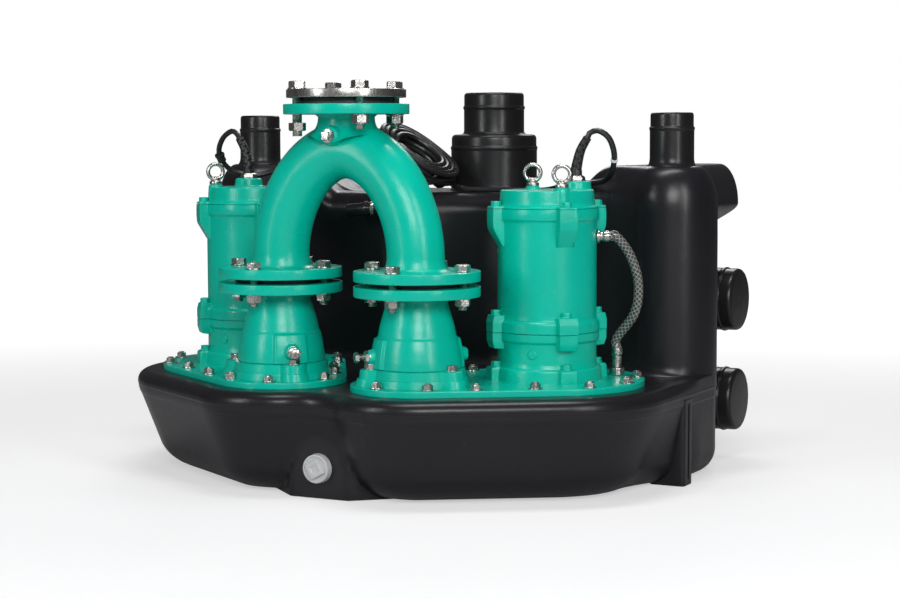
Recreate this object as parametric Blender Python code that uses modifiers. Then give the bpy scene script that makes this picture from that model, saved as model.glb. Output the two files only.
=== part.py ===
"""Twin pump sewage lifting station: a black moulded tank with two green pumps.

Metres, +Z up. The station stands on the floor at Z = 0. +X is to the right of someone who
faces the drain plug, and +Y runs towards the back of the tank. Every piece is laid out from
the line through the two check valves (Y = 0 there), and the parent empty "station" then
brings the middle of the tank's footprint to the origin.
"""
import math

import bmesh
import bpy
import numpy as np
from mathutils import Vector

# Driving dimensions, laid out from the valve line
SEAT = 0.0003             # gap that resting faces keep
SIDES = ((-1, "left"), (1, "right"))

TANK_FRONT = 0.147        # the rim reaches this far in front of the valve line
TANK_BACK = 0.690         # the back wall lies this far behind it
WALL = 0.006              # moulded wall
PARTING = 0.148           # height of the mould's parting line, at the widest place of the rim
PLATFORM = 0.167          # top of the low front part
SHOULDER = 0.514          # top of the two rear shoulders
SADDLE = 0.465            # top of the tank between them
SHOULDER_IN = 0.300       # the shoulders are level outside this distance from the middle
SADDLE_OUT = 0.225        # the saddle is level inside this one
SIDE_WALL = 0.380         # half width of the tank at the side sockets
EAVES = 0.435             # half width above them
EAVES_Z = 0.430
CORNER = 0.060            # rounding of the rear corners in plan

VALVE = (0.125, 0.000)    # axis of the right check valve
PUMP = (0.277, 0.1585)    # axis of the right pump
VENT = (0.404, 0.385)     # axis of the right vent
INLET = (0.000, 0.543)    # axis of the stepped inlet on the saddle
PILLAR_R = 0.077          # rounded corner pillar about the vent
LOBE_VALVE_R = 0.147      # rim of the platform about the valve
LOBE_PUMP_R = 0.201       # rim of the platform about the pump
NOTCH = 0.112             # the rim's notch on the middle line, in front of the valve line
BAY_R = 0.183             # the tall part's front wall curves round the pump at this radius
OPENING_R = 0.138         # pump opening in the platform

PLATE_T = 0.010
PLATE_VALVE_R = 0.106
PLATE_PUMP_R = 0.157
DECK = PLATFORM + SEAT + PLATE_T    # top of the cover plates

FLANGE_R = 0.100
FLANGE_T = 0.016
JOINT_TOP = 0.355         # top of the lower joints' upper flange
JOINT_GAP = 0.008
GASKET_R = 0.071
BORE_R = 0.040
PIPE_R = 0.045
ARCH_HALF = 0.1230        # half width of the pipe's arch, at its centre line
ARCH_SPRING = 0.3755      # where the arch starts
ARCH_RISE = 0.1685
ARCH_POWER = 1.05         # slightly fuller than an ellipse
OUTLET_TOP = 0.616        # top of the pipe's outlet flange
OUTLET_GAP = 0.010
STEEL_R = 0.095
STEEL_T = 0.013

PUMP_SEAM = 0.254         # pump base to motor
COVER_SEAM = 0.451        # motor to its cover
COVER_TOP = 0.479
BARREL_R = 0.0795
EYE_R = 0.065             # lifting eyes stand on this circle
EYE_Z = 0.505             # centre of their rings
GLAND = (0.034, 0.040)    # cable gland from the pump's axis
CABLE_R = 0.00475
HOSE_R = 0.0075

VENT_TOP = 0.603
INLET_TOP = 0.643
SOCKET_END = 0.455        # end faces of the side sockets
SOCKET_Y = 0.597
SOCKET_Z = (("lower", 0.099), ("upper", 0.276))
PLUG_Z = 0.048
PLUG_FACE = 0.095         # the drain pad's face, in front of the valve line

MIDDLE_Y = (TANK_BACK - TANK_FRONT) / 2


def clear_scene():
    """Remove every object that the scene starts with."""
    for old in list(bpy.data.objects):
        bpy.data.objects.remove(old, do_unlink=True)


clear_scene()
parts = bpy.data.collections.new("sewage_lifting_station")
tools = bpy.data.collections.new("cutters_and_additions")
bpy.context.scene.collection.children.link(parts)
bpy.context.scene.collection.children.link(tools)
station = bpy.data.objects.new("station", None)
station.location = (0, -MIDDLE_Y, 0)
parts.objects.link(station)


def finish(name, colour, roughness, metallic=0.0):
    """Principled material with one colour."""
    made = bpy.data.materials.new(name)
    made.use_nodes = True
    shader = made.node_tree.nodes["Principled BSDF"]
    shader.inputs["Base Color"].default_value = (*colour, 1)
    shader.inputs["Roughness"].default_value = roughness
    shader.inputs["Metallic"].default_value = metallic
    return made


BLACK_PE = ("black polyethylene", (0.012, 0.012, 0.014), 0.38)
GREEN_PAINT = ("green gloss paint", (0.0, 0.42, 0.31), 0.25)
STEEL = ("stainless steel", (0.62, 0.61, 0.59), 0.28, 1.0)
RUBBER = ("black rubber", (0.02, 0.02, 0.02), 0.6)
GREY_PLASTIC = ("light grey plastic", (0.55, 0.56, 0.56), 0.45)
CLEAR_HOSE = ("braided clear hose", (0.55, 0.56, 0.52), 0.3)


def place(thing, look):
    """Put a piece in the parts collection, under the station, with its own material."""
    for owner in list(thing.users_collection):
        owner.objects.unlink(thing)
    parts.objects.link(thing)
    thing.parent = station
    thing.data.materials.clear()
    thing.data.materials.append(finish(thing.name + " " + look[0], *look[1:]))
    return thing


def tool(thing):
    """Keep a cutter or an addition out of the model."""
    for owner in list(thing.users_collection):
        owner.objects.unlink(thing)
    tools.objects.link(thing)
    thing.parent = station
    thing.hide_render = True
    thing.display_type = "WIRE"
    return thing


def combine(thing, other, operation):
    """Boolean with another object, by the exact solver."""
    step = thing.modifiers.new(operation.lower() + " " + other.name, "BOOLEAN")
    step.operation = operation
    step.object = other
    return thing


def smooth(mesh, angle=35):
    """Shade round pieces smooth and keep their edges."""
    mesh.shade_smooth()
    mesh.set_sharp_from_angle(angle=math.radians(angle))


def turned(name, profile, at=(0, 0, 0), turn=None, segments=24, ring=False):
    """Turned piece: (radius, height) points, down the outer side, swept once round the axis."""
    mesh = bpy.data.meshes.new(name)
    points = [(r, 0, z) for r, z in profile]
    edges = [(i, i + 1) for i in range(len(points) - 1)]
    if ring:
        edges.append((len(points) - 1, 0))
    mesh.from_pydata(points, edges, [])
    thing = bpy.data.objects.new(name, mesh)
    thing.location = at
    if turn is not None:
        thing.rotation_euler = turn
    sweep = thing.modifiers.new("turn", "SCREW")
    sweep.angle = math.tau
    sweep.steps = segments
    sweep.render_steps = segments
    sweep.use_merge_vertices = True
    sweep.merge_threshold = 0.00005
    sweep.use_smooth_shade = True
    return thing


def block(name, size, at, turn_z=0.0, bevel=0.0):
    """Box by its size and centre, turned about Z, with rounded edges."""
    mesh = bpy.data.meshes.new(name)
    cage = bmesh.new()
    bmesh.ops.create_cube(cage, size=1)
    bmesh.ops.scale(cage, vec=size, verts=cage.verts)
    cage.to_mesh(mesh)
    cage.free()
    thing = bpy.data.objects.new(name, mesh)
    thing.location = at
    thing.rotation_euler = (0, 0, turn_z)
    if bevel:
        rounding = thing.modifiers.new("rounded edges", "BEVEL")
        rounding.width = bevel
        rounding.segments = 2
    return thing


def slab(name, outline, z, thickness):
    """Flat plate: a closed plan outline with half the thickness each way."""
    curve = bpy.data.curves.new(name, "CURVE")
    curve.dimensions = "2D"
    curve.fill_mode = "BOTH"
    curve.extrude = thickness / 2
    spline = curve.splines.new("POLY")
    spline.points.add(len(outline) - 1)
    spline.points.foreach_set("co", [c for x, y in outline for c in (x, y, 0, 1)])
    spline.use_cyclic_u = True
    thing = bpy.data.objects.new(name, curve)
    thing.location = (0, 0, z + thickness / 2)
    return thing


def tube(name, points, radius, resolution=2):
    """Round tube along points, with filled ends. A radius may be given for each point."""
    curve = bpy.data.curves.new(name, "CURVE")
    curve.dimensions = "3D"
    curve.bevel_depth = 1.0
    curve.bevel_resolution = resolution
    curve.use_fill_caps = True
    spline = curve.splines.new("POLY")
    spline.points.add(len(points) - 1)
    spline.points.foreach_set("co", [c for p in points for c in (*p, 1)])
    radii = [radius] * len(points) if np.isscalar(radius) else radius
    spline.points.foreach_set("radius", list(radii))
    spline.use_smooth = True
    return bpy.data.objects.new(name, curve)


def as_mesh(thing):
    """Turn a curve object into a closed mesh object in the same place."""
    bpy.context.scene.collection.objects.link(thing)
    bpy.context.view_layer.update()
    seen = thing.evaluated_get(bpy.context.evaluated_depsgraph_get())
    mesh = bpy.data.meshes.new_from_object(seen)
    cage = bmesh.new()
    cage.from_mesh(mesh)
    bmesh.ops.remove_doubles(cage, verts=cage.verts, dist=0.00005)
    cage.to_mesh(mesh)
    cage.free()
    name = thing.name
    made = bpy.data.objects.new(name + "_mesh", mesh)
    made.matrix_world = thing.matrix_world
    bpy.data.objects.remove(thing, do_unlink=True)
    made.name = name
    return made


def smooth_path(route, count):
    """Smooth curve through hand-chosen points (Catmull-Rom), read at even steps.

    Each end has one more point close by, so that its cap faces straight along the route.
    """
    route = np.array(route, float)
    ends = np.vstack([2 * route[0] - route[1], route, 2 * route[-1] - route[-2]])
    t = np.linspace(0, 1, 24, endpoint=False)[:, None]
    runs = []
    for a, b, c, d in zip(ends, ends[1:], ends[2:], ends[3:]):
        runs.append(0.5 * (2 * b + (c - a) * t + (2 * a - 5 * b + 4 * c - d) * t**2
                           + (3 * b - a - 3 * c + d) * t**3))
    dense = np.vstack([*runs, route[-1:]])
    return evenly(dense, count, 0.003)


def evenly(line, count, near_end=None):
    """The same line read at evenly spaced places, and at a short distance from its ends."""
    steps = np.linalg.norm(np.diff(line, axis=0), axis=1)
    along = np.concatenate([[0], np.cumsum(steps)])
    wanted = np.linspace(0, along[-1], count)
    if near_end:
        wanted = np.sort(np.append(wanted, (near_end, along[-1] - near_end)))
    return np.column_stack([np.interp(wanted, along, line[:, k]) for k in range(line.shape[1])])


def arc(centre, radius, start, end, count=40):
    """Points of an arc, angles in radians."""
    a = np.linspace(start, end, count)
    return np.column_stack([centre[0] + radius * np.cos(a), centre[1] + radius * np.sin(a)])


def tangent_angle(first, first_r, second, second_r):
    """Direction of the outward normal of the line that touches two circles on their right."""
    gap = np.subtract(second, first)
    return math.atan2(gap[1], gap[0]) - math.acos((first_r - second_r) / np.hypot(*gap))


def side(sign, x, y, z=None):
    """A place on the left or the right half."""
    return (sign * x, y) if z is None else (sign * x, y, z)


# Plan outlines of the tank, on the right half from the front middle to the back middle
FRONT_N, PILLAR_N, WALL_N, CORNER_N, BACK_N = 20, 5, 3, 4, 4


def rim_front():
    """Notch, lobe round the valve, lobe round the pump, up to the pillar."""
    drop = LOBE_VALVE_R**2 - VALVE[0] ** 2 - NOTCH**2
    notch_r = drop / (2 * (NOTCH - LOBE_VALVE_R))
    notch_c = (0.0, -NOTCH - notch_r)
    lean = math.atan2(-notch_c[1], VALVE[0])
    to_pump = tangent_angle(VALVE, LOBE_VALVE_R, PUMP, LOBE_PUMP_R)
    to_pillar = tangent_angle(PUMP, LOBE_PUMP_R, VENT, PILLAR_R)
    return np.vstack([
        arc(notch_c, notch_r, math.pi / 2, lean),
        arc(VALVE, LOBE_VALVE_R, lean - math.pi, to_pump),
        arc(PUMP, LOBE_PUMP_R, to_pump, to_pillar),
        arc(VENT, PILLAR_R, to_pillar, to_pillar, 1),
    ])


def bay_front():
    """Front wall of the tall part: a bay round each pump, then the pillar's front."""
    gap = np.subtract(VENT, PUMP)
    meet = math.atan2(gap[1], gap[0])
    to_pillar = tangent_angle(PUMP, LOBE_PUMP_R, VENT, PILLAR_R)
    return np.vstack([
        [(0, PUMP[1] + BAY_R)],
        arc(PUMP, BAY_R, math.pi / 2, meet),
        arc(VENT, PILLAR_R, meet - math.pi, to_pillar),
    ])


def outline(front, half_width):
    """Closed plan outline from its front stretch and the half width of its side walls."""
    start = tangent_angle(PUMP, LOBE_PUMP_R, VENT, PILLAR_R)
    stop = math.acos((half_width - VENT[0]) / PILLAR_R)
    corner_c = (half_width - CORNER, TANK_BACK - CORNER)
    pillar = arc(VENT, PILLAR_R, start, stop)
    wall = np.array([pillar[-1], (half_width, corner_c[1])])
    corner = arc(corner_c, CORNER, 0, math.pi / 2)
    back = np.array([corner[-1], (0, TANK_BACK)])
    half = np.vstack([
        evenly(front, FRONT_N)[:-1],
        evenly(pillar, PILLAR_N)[:-1],
        evenly(wall, WALL_N)[:-1],
        evenly(corner, CORNER_N)[:-1],
        evenly(back, BACK_N),
    ])
    return np.vstack([half, half[-2:0:-1] * (-1, 1)])


def moved_in(plan, distance):
    """The outline moved inwards, square to itself, by a distance for each point."""
    along = np.roll(plan, -1, axis=0) - np.roll(plan, 1, axis=0)
    along /= np.linalg.norm(along, axis=1)[:, None]
    outward = np.column_stack([along[:, 1], -along[:, 0]])
    return plan - outward * np.broadcast_to(distance, len(plan))[:, None]


def step(low, high, value):
    """Smooth change from 0 to 1 between two values."""
    t = np.clip((value - low) / (high - low), 0, 1)
    return t * t * (3 - 2 * t)


def roof(x):
    """Height of the tank's top: level shoulders and a lower saddle between them."""
    return SADDLE + (SHOULDER - SADDLE) * step(SADDLE_OUT, SHOULDER_IN, np.abs(x))


RIM = outline(rim_front(), SIDE_WALL)
BAY = outline(bay_front(), SIDE_WALL)
BAY_WIDE = outline(bay_front(), EAVES)
FRONTNESS = 1 - step(0.150, 0.330, RIM[:, 1])     # 1 along the platform, 0 along the tall part

BOTTOM_ROUND = 0.042


def draft(z):
    """How far the tub's wall lies inside the rim at a height: front walls lean, rear ones don't."""
    under = np.clip((BOTTOM_ROUND - z) / BOTTOM_ROUND, 0, 1)
    curl = 1 - math.sqrt(1 - under**2)
    front = 0.377 * max(0.140 - z, 0) + 0.047 * curl
    return FRONTNESS * front + (1 - FRONTNESS) * 0.040 * curl


def loft(name, rings, pole, downwards=False):
    """Surface over closed rings of like length, closed at its last ring by a fan to a pole."""
    count = len(rings[0])
    points = np.vstack([*rings, [pole]])
    faces = []
    for k in range(len(rings) - 1):
        for i in range(count):
            j = (i + 1) % count
            low, high = k * count, (k + 1) * count
            faces += [(low + i, low + j, high + j), (low + i, high + j, high + i)]
    last, top = (len(rings) - 1) * count, len(points) - 1
    faces += [(last + i, last + (i + 1) % count, top) for i in range(count)]
    if downwards:
        faces = [face[::-1] for face in faces]
    mesh = bpy.data.meshes.new(name)
    mesh.from_pydata(points.tolist(), [], faces)
    smooth(mesh)
    return bpy.data.objects.new(name, mesh)


def at_height(plan, z):
    """Plan points lifted to a height."""
    return np.column_stack([plan, np.broadcast_to(z, len(plan))])


TUB_HEIGHTS = (0.140, 0.090, 0.042, 0.022, 0.008, 0.0)


def tub_rings(spread=0.0):
    """Rings of the tub from its open top down to the floor."""
    rings = [at_height(moved_in(RIM, -spread), PARTING - SEAT / 2)]
    rings += [at_height(moved_in(RIM, draft(z) - spread), z) for z in TUB_HEIGHTS]
    return rings


def hood_rings(wall=0.0):
    """Rings of the upper half from the parting line to the edge of its top.

    With a wall, they are the rings of its hollow, which runs on a little below.
    """
    start = PARTING + SEAT / 2 - (0.010 if wall else 0)
    rings = [at_height(moved_in(RIM, wall), start)]
    for z, inset in ((0.151, 0.0), (0.162, 0.0055), (PLATFORM, 0.018)):
        rings.append(at_height(moved_in(RIM, inset * FRONTNESS + wall), z - wall))
    for z, flare in ((PLATFORM, 0.012), (0.178, 0.0)):
        plan = moved_in(BAY, wall - flare * FRONTNESS)
        rings.append(at_height(plan, z - wall + 0.003 * (1 - FRONTNESS)))
    rings.append(at_height(moved_in(BAY, wall), EAVES_Z - 0.020))
    top = roof(BAY_WIDE[:, 0]) - wall
    rings.append(at_height(moved_in(BAY_WIDE, wall), np.minimum(EAVES_Z + 0.010, top - 0.038)))
    for drop, inset in ((0.034, 0.0), (0.015, 0.005), (0.004, 0.015), (0.0, 0.032)):
        rings.append(at_height(moved_in(BAY_WIDE, inset + wall), top - drop))
    middle = np.array(INLET) - (0, 0.030)
    edge = moved_in(BAY_WIDE, 0.032 + wall)
    for share in (0.36, 0.70):
        plan = edge + (middle - edge) * share
        rings.append(at_height(plan, roof(plan[:, 0]) - wall))
    return rings, (*middle, SADDLE - wall)


def closed(thing):
    """Close the open end of a lofted surface with one flat face."""
    cage = bmesh.new()
    cage.from_mesh(thing.data)
    bmesh.ops.holes_fill(cage, edges=cage.edges)
    cage.to_mesh(thing.data)
    cage.free()
    return thing


def shell(thing):
    """Give a moulded surface its wall, inwards."""
    wall = thing.modifiers.new("moulded wall", "SOLIDIFY")
    wall.thickness = WALL
    wall.offset = -1
    wall.use_even_offset = True
    return thing


def make_tank():
    """Tub and hood, which meet at the mould's parting line, and the pad of the drain plug."""
    tub = shell(loft("tank_tub", tub_rings(), (0, 0.300, 0), downwards=True))
    pad_outline = [(0.058 * math.cos(a), 0.085 * math.sin(a) + 0.010)
                   for a in np.linspace(0, math.pi, 15)]
    pad_outline += [(-0.058, 0.004), (0.058, 0.004)]
    pad = as_mesh(slab("drain_pad", pad_outline, -0.025, 0.050))
    pad.rotation_euler = (math.pi / 2, 0, 0)
    pad.location = (0, 0.025 - PLUG_FACE, 0)
    combine(tub, tool(pad), "UNION")
    place(tub, BLACK_PE)

    hood = closed(loft("tank_hood", *hood_rings()))
    hollow = closed(loft("hood_hollow", *hood_rings(WALL)))
    combine(hood, tool(hollow), "DIFFERENCE")
    for sign, word in SIDES:
        hole = turned("opening_" + word, [(0, 0.190), (OPENING_R, 0.190), (OPENING_R, 0.140),
                                          (0, 0.140)], side(sign, *PUMP, 0), segments=40)
        combine(hood, tool(hole), "DIFFERENCE")
    place(hood, BLACK_PE)


def make_drain_plug():
    """Screwed plug with a raised square key, on the pad between the lobes."""
    plug = turned("drain_plug", [(0, 0.012), (0.020, 0.012), (0.0215, 0.010), (0.0215, 0.002),
                                 (0.0235, 0.0), (0, 0.0)],
                  (0, -PLUG_FACE - SEAT, PLUG_Z), (math.pi / 2, 0, 0))
    key = block("plug_key", (0.015, 0.012, 0.015), (0, -PLUG_FACE - 0.014, PLUG_Z), bevel=0.001)
    combine(plug, tool(key), "UNION")
    place(plug, GREY_PLASTIC)


def make_anchor_brackets():
    """Upright bracket at each side, which holds the tank down to the floor."""
    clear = 2 * SEAT
    outer = loft("tub_outside", [at_height(moved_in(RIM, -clear), 0.16)] + tub_rings(clear)
                 + [at_height(moved_in(RIM, draft(0) - clear), -0.01)], (0, 0.300, -0.01),
                 downwards=True)
    tool(closed(outer))
    for sign, word in SIDES:
        post = block("floor_bracket_" + word, (0.060, 0.040, 0.142),
                     side(sign, 0.449, 0.268, 0.071), bevel=0.003)
        combine(post, outer, "DIFFERENCE")
        place(post, BLACK_PE)


def stub(name, base, top, steps, at, turn=None):
    """Moulded socket: (height, radius) steps from its rim down to its base."""
    profile = [(0, top)]
    for z, r in steps:
        profile.append((r, z))
    profile += [(steps[-1][1], base), (0, base)]
    return place(turned(name, profile, at, turn), BLACK_PE)


def make_sockets():
    """Stepped inlet, two vents and four side sockets, all with their moulded end caps."""
    base = SADDLE + SEAT
    stub("inlet_socket", base, INLET_TOP,
         [(INLET_TOP, 0.050), (0.640, 0.0525), (0.620, 0.0525), (0.617, 0.055), (0.571, 0.055),
          (0.566, 0.076), (0.563, 0.0775), (0.545, 0.0775), (0.541, 0.080)], (*INLET, 0))
    for sign, word in SIDES:
        stub("vent_socket_" + word, SHOULDER + SEAT, VENT_TOP,
             [(VENT_TOP, 0.032), (0.600, 0.0345), (0.580, 0.0345), (0.576, 0.0375)],
             side(sign, *VENT, 0))
        for level, z in SOCKET_Z:
            stub(f"side_socket_{word}_{level}", SIDE_WALL + SEAT, SOCKET_END,
                 [(SOCKET_END, 0.050), (0.452, 0.0525), (0.432, 0.0525), (0.429, 0.055)],
                 (0, SOCKET_Y, z), (0, sign * math.pi / 2, 0))


def plate_outline():
    """Oblong plate round the valve and the pump on the right half."""
    ahead = tangent_angle(VALVE, PLATE_VALVE_R, PUMP, PLATE_PUMP_R)
    gap = np.subtract(PUMP, VALVE)
    lean = math.atan2(gap[1], gap[0])
    behind = 2 * lean - ahead
    valve_end = arc(VALVE, PLATE_VALVE_R, behind, ahead + math.tau, 16)
    pump_end = arc(PUMP, PLATE_PUMP_R, ahead, behind, 20)
    return np.vstack([valve_end, pump_end])


def make_cover_plates():
    """Painted plate over each pump opening."""
    plan = plate_outline()
    for sign, word in SIDES:
        half = plan * (sign, 1)
        plate = as_mesh(slab("cover_plate_" + word, half[::sign], PLATFORM + SEAT, PLATE_T))
        place(plate, GREEN_PAINT)


def make_valves():
    """Check valve castings with their stepped foot and top flange, and the joint gaskets."""
    top = JOINT_TOP - FLANGE_T - JOINT_GAP
    foot = DECK + SEAT
    profile = [(0, top), (FLANGE_R, top), (FLANGE_R, top - FLANGE_T), (0.050, top - FLANGE_T),
               (0.0480, 0.305), (0.0527, 0.290), (0.0584, 0.271), (0.0624, 0.253),
               (0.0677, 0.234), (0.0704, 0.215), (0.0715, 0.206), (0.084, 0.2035),
               (0.0865, 0.201), (0.0865, foot), (0, foot)]
    seal = [(GASKET_R, JOINT_GAP - SEAT), (GASKET_R, SEAT), (BORE_R, SEAT),
            (BORE_R, JOINT_GAP - SEAT)]
    for sign, word in SIDES:
        place(turned("check_valve_" + word, profile, side(sign, *VALVE, 0)), GREEN_PAINT)
        place(turned("joint_gasket_" + word, seal, side(sign, *VALVE, top), ring=True), RUBBER)


def arch_path(low, count=25):
    """Centre line of the inverted U: straight legs, then an arch a little fuller than an ellipse."""
    a = np.linspace(0, math.pi, count)
    x = ARCH_HALF * np.sign(np.cos(a)) * np.abs(np.cos(a)) ** ARCH_POWER
    z = ARCH_SPRING + ARCH_RISE * np.sin(a) ** ARCH_POWER
    legs_x = np.concatenate([[ARCH_HALF], x, [-ARCH_HALF]])
    legs_z = np.concatenate([[low], z, [low]])
    return np.column_stack([legs_x, 0 * legs_x, legs_z])


def make_pipe():
    """Inverted U pipe with its bore, three flanges and the outlet neck."""
    lower = JOINT_TOP - FLANGE_T
    pipe = as_mesh(tube("u_pipe", arch_path(lower + 0.006), PIPE_R, 6))
    bore = tool(as_mesh(tube("pipe_bore", arch_path(lower - 0.020), BORE_R, 3)))
    neck = turned("outlet_neck", [(0, OUTLET_TOP), (FLANGE_R, OUTLET_TOP),
                                  (FLANGE_R, OUTLET_TOP - FLANGE_T),
                                  (0.047, OUTLET_TOP - FLANGE_T), (0.0445, 0.596),
                                  (0.0445, 0.545), (0, 0.545)])
    combine(pipe, tool(neck), "UNION")
    for sign, word in SIDES:
        flange = turned("leg_flange_" + word, [(0, JOINT_TOP), (FLANGE_R, JOINT_TOP),
                                               (FLANGE_R, lower), (0, lower)],
                        side(sign, *VALVE, 0))
        combine(pipe, tool(flange), "UNION")
    boss = turned("vent_boss", [(0, 0.058), (0.0135, 0.058), (0.015, 0.054), (0.017, 0.020),
                                (0, 0.020)], (0, 0, 0.566), (math.pi / 2, 0, 0), 16)
    combine(pipe, tool(boss), "UNION")
    neck_bore = turned("neck_bore", [(0, 0.64), (BORE_R, 0.64), (BORE_R, 0.540), (0, 0.540)],
                       segments=24)
    combine(pipe, bore, "DIFFERENCE")
    combine(pipe, tool(neck_bore), "DIFFERENCE")
    place(pipe, GREEN_PAINT)
    seal = [(GASKET_R, OUTLET_GAP - SEAT), (GASKET_R, SEAT), (BORE_R + 0.004, SEAT),
            (BORE_R + 0.004, OUTLET_GAP - SEAT)]
    place(turned("outlet_gasket", seal, (0, 0, OUTLET_TOP), ring=True), RUBBER)
    low, high = OUTLET_TOP + OUTLET_GAP, OUTLET_TOP + OUTLET_GAP + STEEL_T
    ring = [(STEEL_R, high), (STEEL_R, low), (0.0445, low), (0.0445, high)]
    place(turned("steel_flange", ring, ring=True), STEEL)


def lugs(name, centre, radius, low, high, size, bevel=0.004):
    """Four cast lugs round a barrel, on its diagonals."""
    made = []
    for k in range(4):
        a = math.radians(45 + 90 * k)
        spot = (centre[0] + radius * math.cos(a), centre[1] + radius * math.sin(a),
                (low + high) / 2)
        made.append(tool(block(f"{name}_{k}", (size[0], size[1], high - low), spot, a, bevel)))
    return made


def make_pumps():
    """Pump base, motor housing and motor cover on each side, with lifting eyes and gland."""
    foot = DECK + SEAT
    for sign, word in SIDES:
        axis = side(sign, *PUMP)
        base = turned("pump_base_" + word,
                      [(0, PUMP_SEAM - SEAT), (0.084, PUMP_SEAM - SEAT), (0.084, 0.242),
                       (0.0795, 0.238), (0.0795, 0.200), (0.084, 0.192), (0.088, foot),
                       (0, foot)], (*axis, 0))
        for lug in lugs("base_lug_low_" + word, axis, 0.086, foot, 0.198, (0.024, 0.026)):
            combine(base, lug, "UNION")
        for lug in lugs("base_lug_high_" + word, axis, 0.083, 0.228, PUMP_SEAM - SEAT,
                        (0.024, 0.030)):
            combine(base, lug, "UNION")
        place(base, GREEN_PAINT)

        motor = turned("motor_housing_" + word,
                       [(0, COVER_SEAM - SEAT), (0.083, COVER_SEAM - SEAT), (0.083, 0.436),
                        (BARREL_R, 0.432), (BARREL_R, 0.275), (0.084, 0.271),
                        (0.084, PUMP_SEAM), (0, PUMP_SEAM)], (*axis, 0))
        for lug in lugs("motor_lug_low_" + word, axis, 0.083, PUMP_SEAM, 0.281,
                        (0.026, 0.032)):
            combine(motor, lug, "UNION")
        for lug in lugs("motor_lug_high_" + word, axis, 0.080, 0.416, COVER_SEAM - SEAT,
                        (0.028, 0.030)):
            combine(motor, lug, "UNION")
        place(motor, GREEN_PAINT)

        cover = turned("motor_cover_" + word,
                       [(0, COVER_TOP), (0.073, COVER_TOP), (0.0755, 0.476),
                        (0.0755, 0.456), (0.079, COVER_SEAM), (0, COVER_SEAM)], (*axis, 0))
        gland = (axis[0] + sign * GLAND[0], axis[1] + GLAND[1])
        boss = turned("gland_boss_" + word, [(0, 0.492), (0.020, 0.492), (0.0235, 0.489),
                                             (0.025, 0.470), (0.025, 0.456), (0, 0.456)],
                      (*gland, 0), segments=20)
        combine(cover, tool(boss), "UNION")
        for place_word, angle in (("front", -45), ("rear", 135)):
            a = math.radians(angle if sign > 0 else 180 - angle)
            spot = (axis[0] + EYE_R * math.cos(a), axis[1] + EYE_R * math.sin(a))
            seat = turned(f"eye_boss_{place_word}_{word}",
                          [(0, 0.483), (0.0115, 0.483), (0.013, 0.470), (0.013, 0.445),
                           (0, 0.445)], (*spot, 0), segments=16)
            combine(cover, tool(seat), "UNION")
            make_eye(f"lifting_eye_{word}_{place_word}", spot, a)
        trim = turned("cover_trim_" + word, [(0, COVER_SEAM), (0.120, COVER_SEAM),
                                             (0.120, 0.430), (0, 0.430)], (*axis, 0))
        combine(cover, tool(trim), "DIFFERENCE")
        place(cover, GREEN_PAINT)
        nut = turned("cable_gland_" + word,
                     [(0, 0.501), (0.0095, 0.501), (0.0115, 0.499), (0.0115, 0.492 + SEAT),
                      (0, 0.492 + SEAT)], (*gland, 0), segments=12)
        place(nut, STEEL)


def make_eye(name, spot, angle):
    """Lifting eye: a ring on a collar."""
    collar = turned(name, [(0, 0.494), (0.0055, 0.494), (0.0085, 0.488), (0.0085, 0.483 + SEAT),
                           (0, 0.483 + SEAT)], (*spot, 0), segments=12)
    bpy.ops.mesh.primitive_torus_add(major_segments=14, minor_segments=6,
                                     major_radius=0.0128, minor_radius=0.0034)
    loop = bpy.context.object
    loop.name = name + "_loop"
    loop.location = (*spot, EYE_Z)
    loop.rotation_euler = (math.pi / 2, 0, EYE_TURN)
    combine(collar, tool(loop), "UNION")
    place(collar, STEEL)


EYE_TURN = math.radians(20)

# Routes from the right gland and hose tail; the left ones are their mirror images up to the saddle
RELIEF = [(0.311, 0.1985, 0.5013), (0.311, 0.1985, 0.507), (0.311, 0.1985, 0.514),
          (0.318, 0.1985, 0.541), (0.330, 0.1990, 0.562)]
CABLE_RIGHT = [(0.348, 0.201, 0.573), (0.364, 0.206, 0.561), (0.369, 0.216, 0.536),
               (0.358, 0.236, 0.510), (0.334, 0.268, 0.493), (0.298, 0.300, 0.487),
               (0.255, 0.330, 0.486), (0.215, 0.362, 0.479), (0.165, 0.395, 0.4710),
               (0.100, 0.402, 0.4705), (0.040, 0.397, 0.4707), (0.008, 0.397, 0.4722)]
CABLE_LEFT = [(-0.348, 0.201, 0.574), (-0.370, 0.206, 0.560), (-0.383, 0.216, 0.534),
              (-0.374, 0.238, 0.506), (-0.342, 0.266, 0.496), (-0.300, 0.288, 0.508),
              (-0.262, 0.303, 0.531), (-0.226, 0.317, 0.558), (-0.197, 0.330, 0.578),
              (-0.172, 0.344, 0.586)]
COIL_R = 0.0625           # mean radius of the hank
COIL_HALF = 0.019
COIL_LEAN = math.radians(36)    # its left side is propped up
COIL_AT = (-0.085, 0.397, SADDLE + SEAT + (COIL_R + 4 * CABLE_R) * math.sin(COIL_LEAN)
           + COIL_HALF * math.cos(COIL_LEAN))
ENTRIES = {"right": 0.0, "left": math.radians(-150)}    # where each cable enters its outer side


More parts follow.
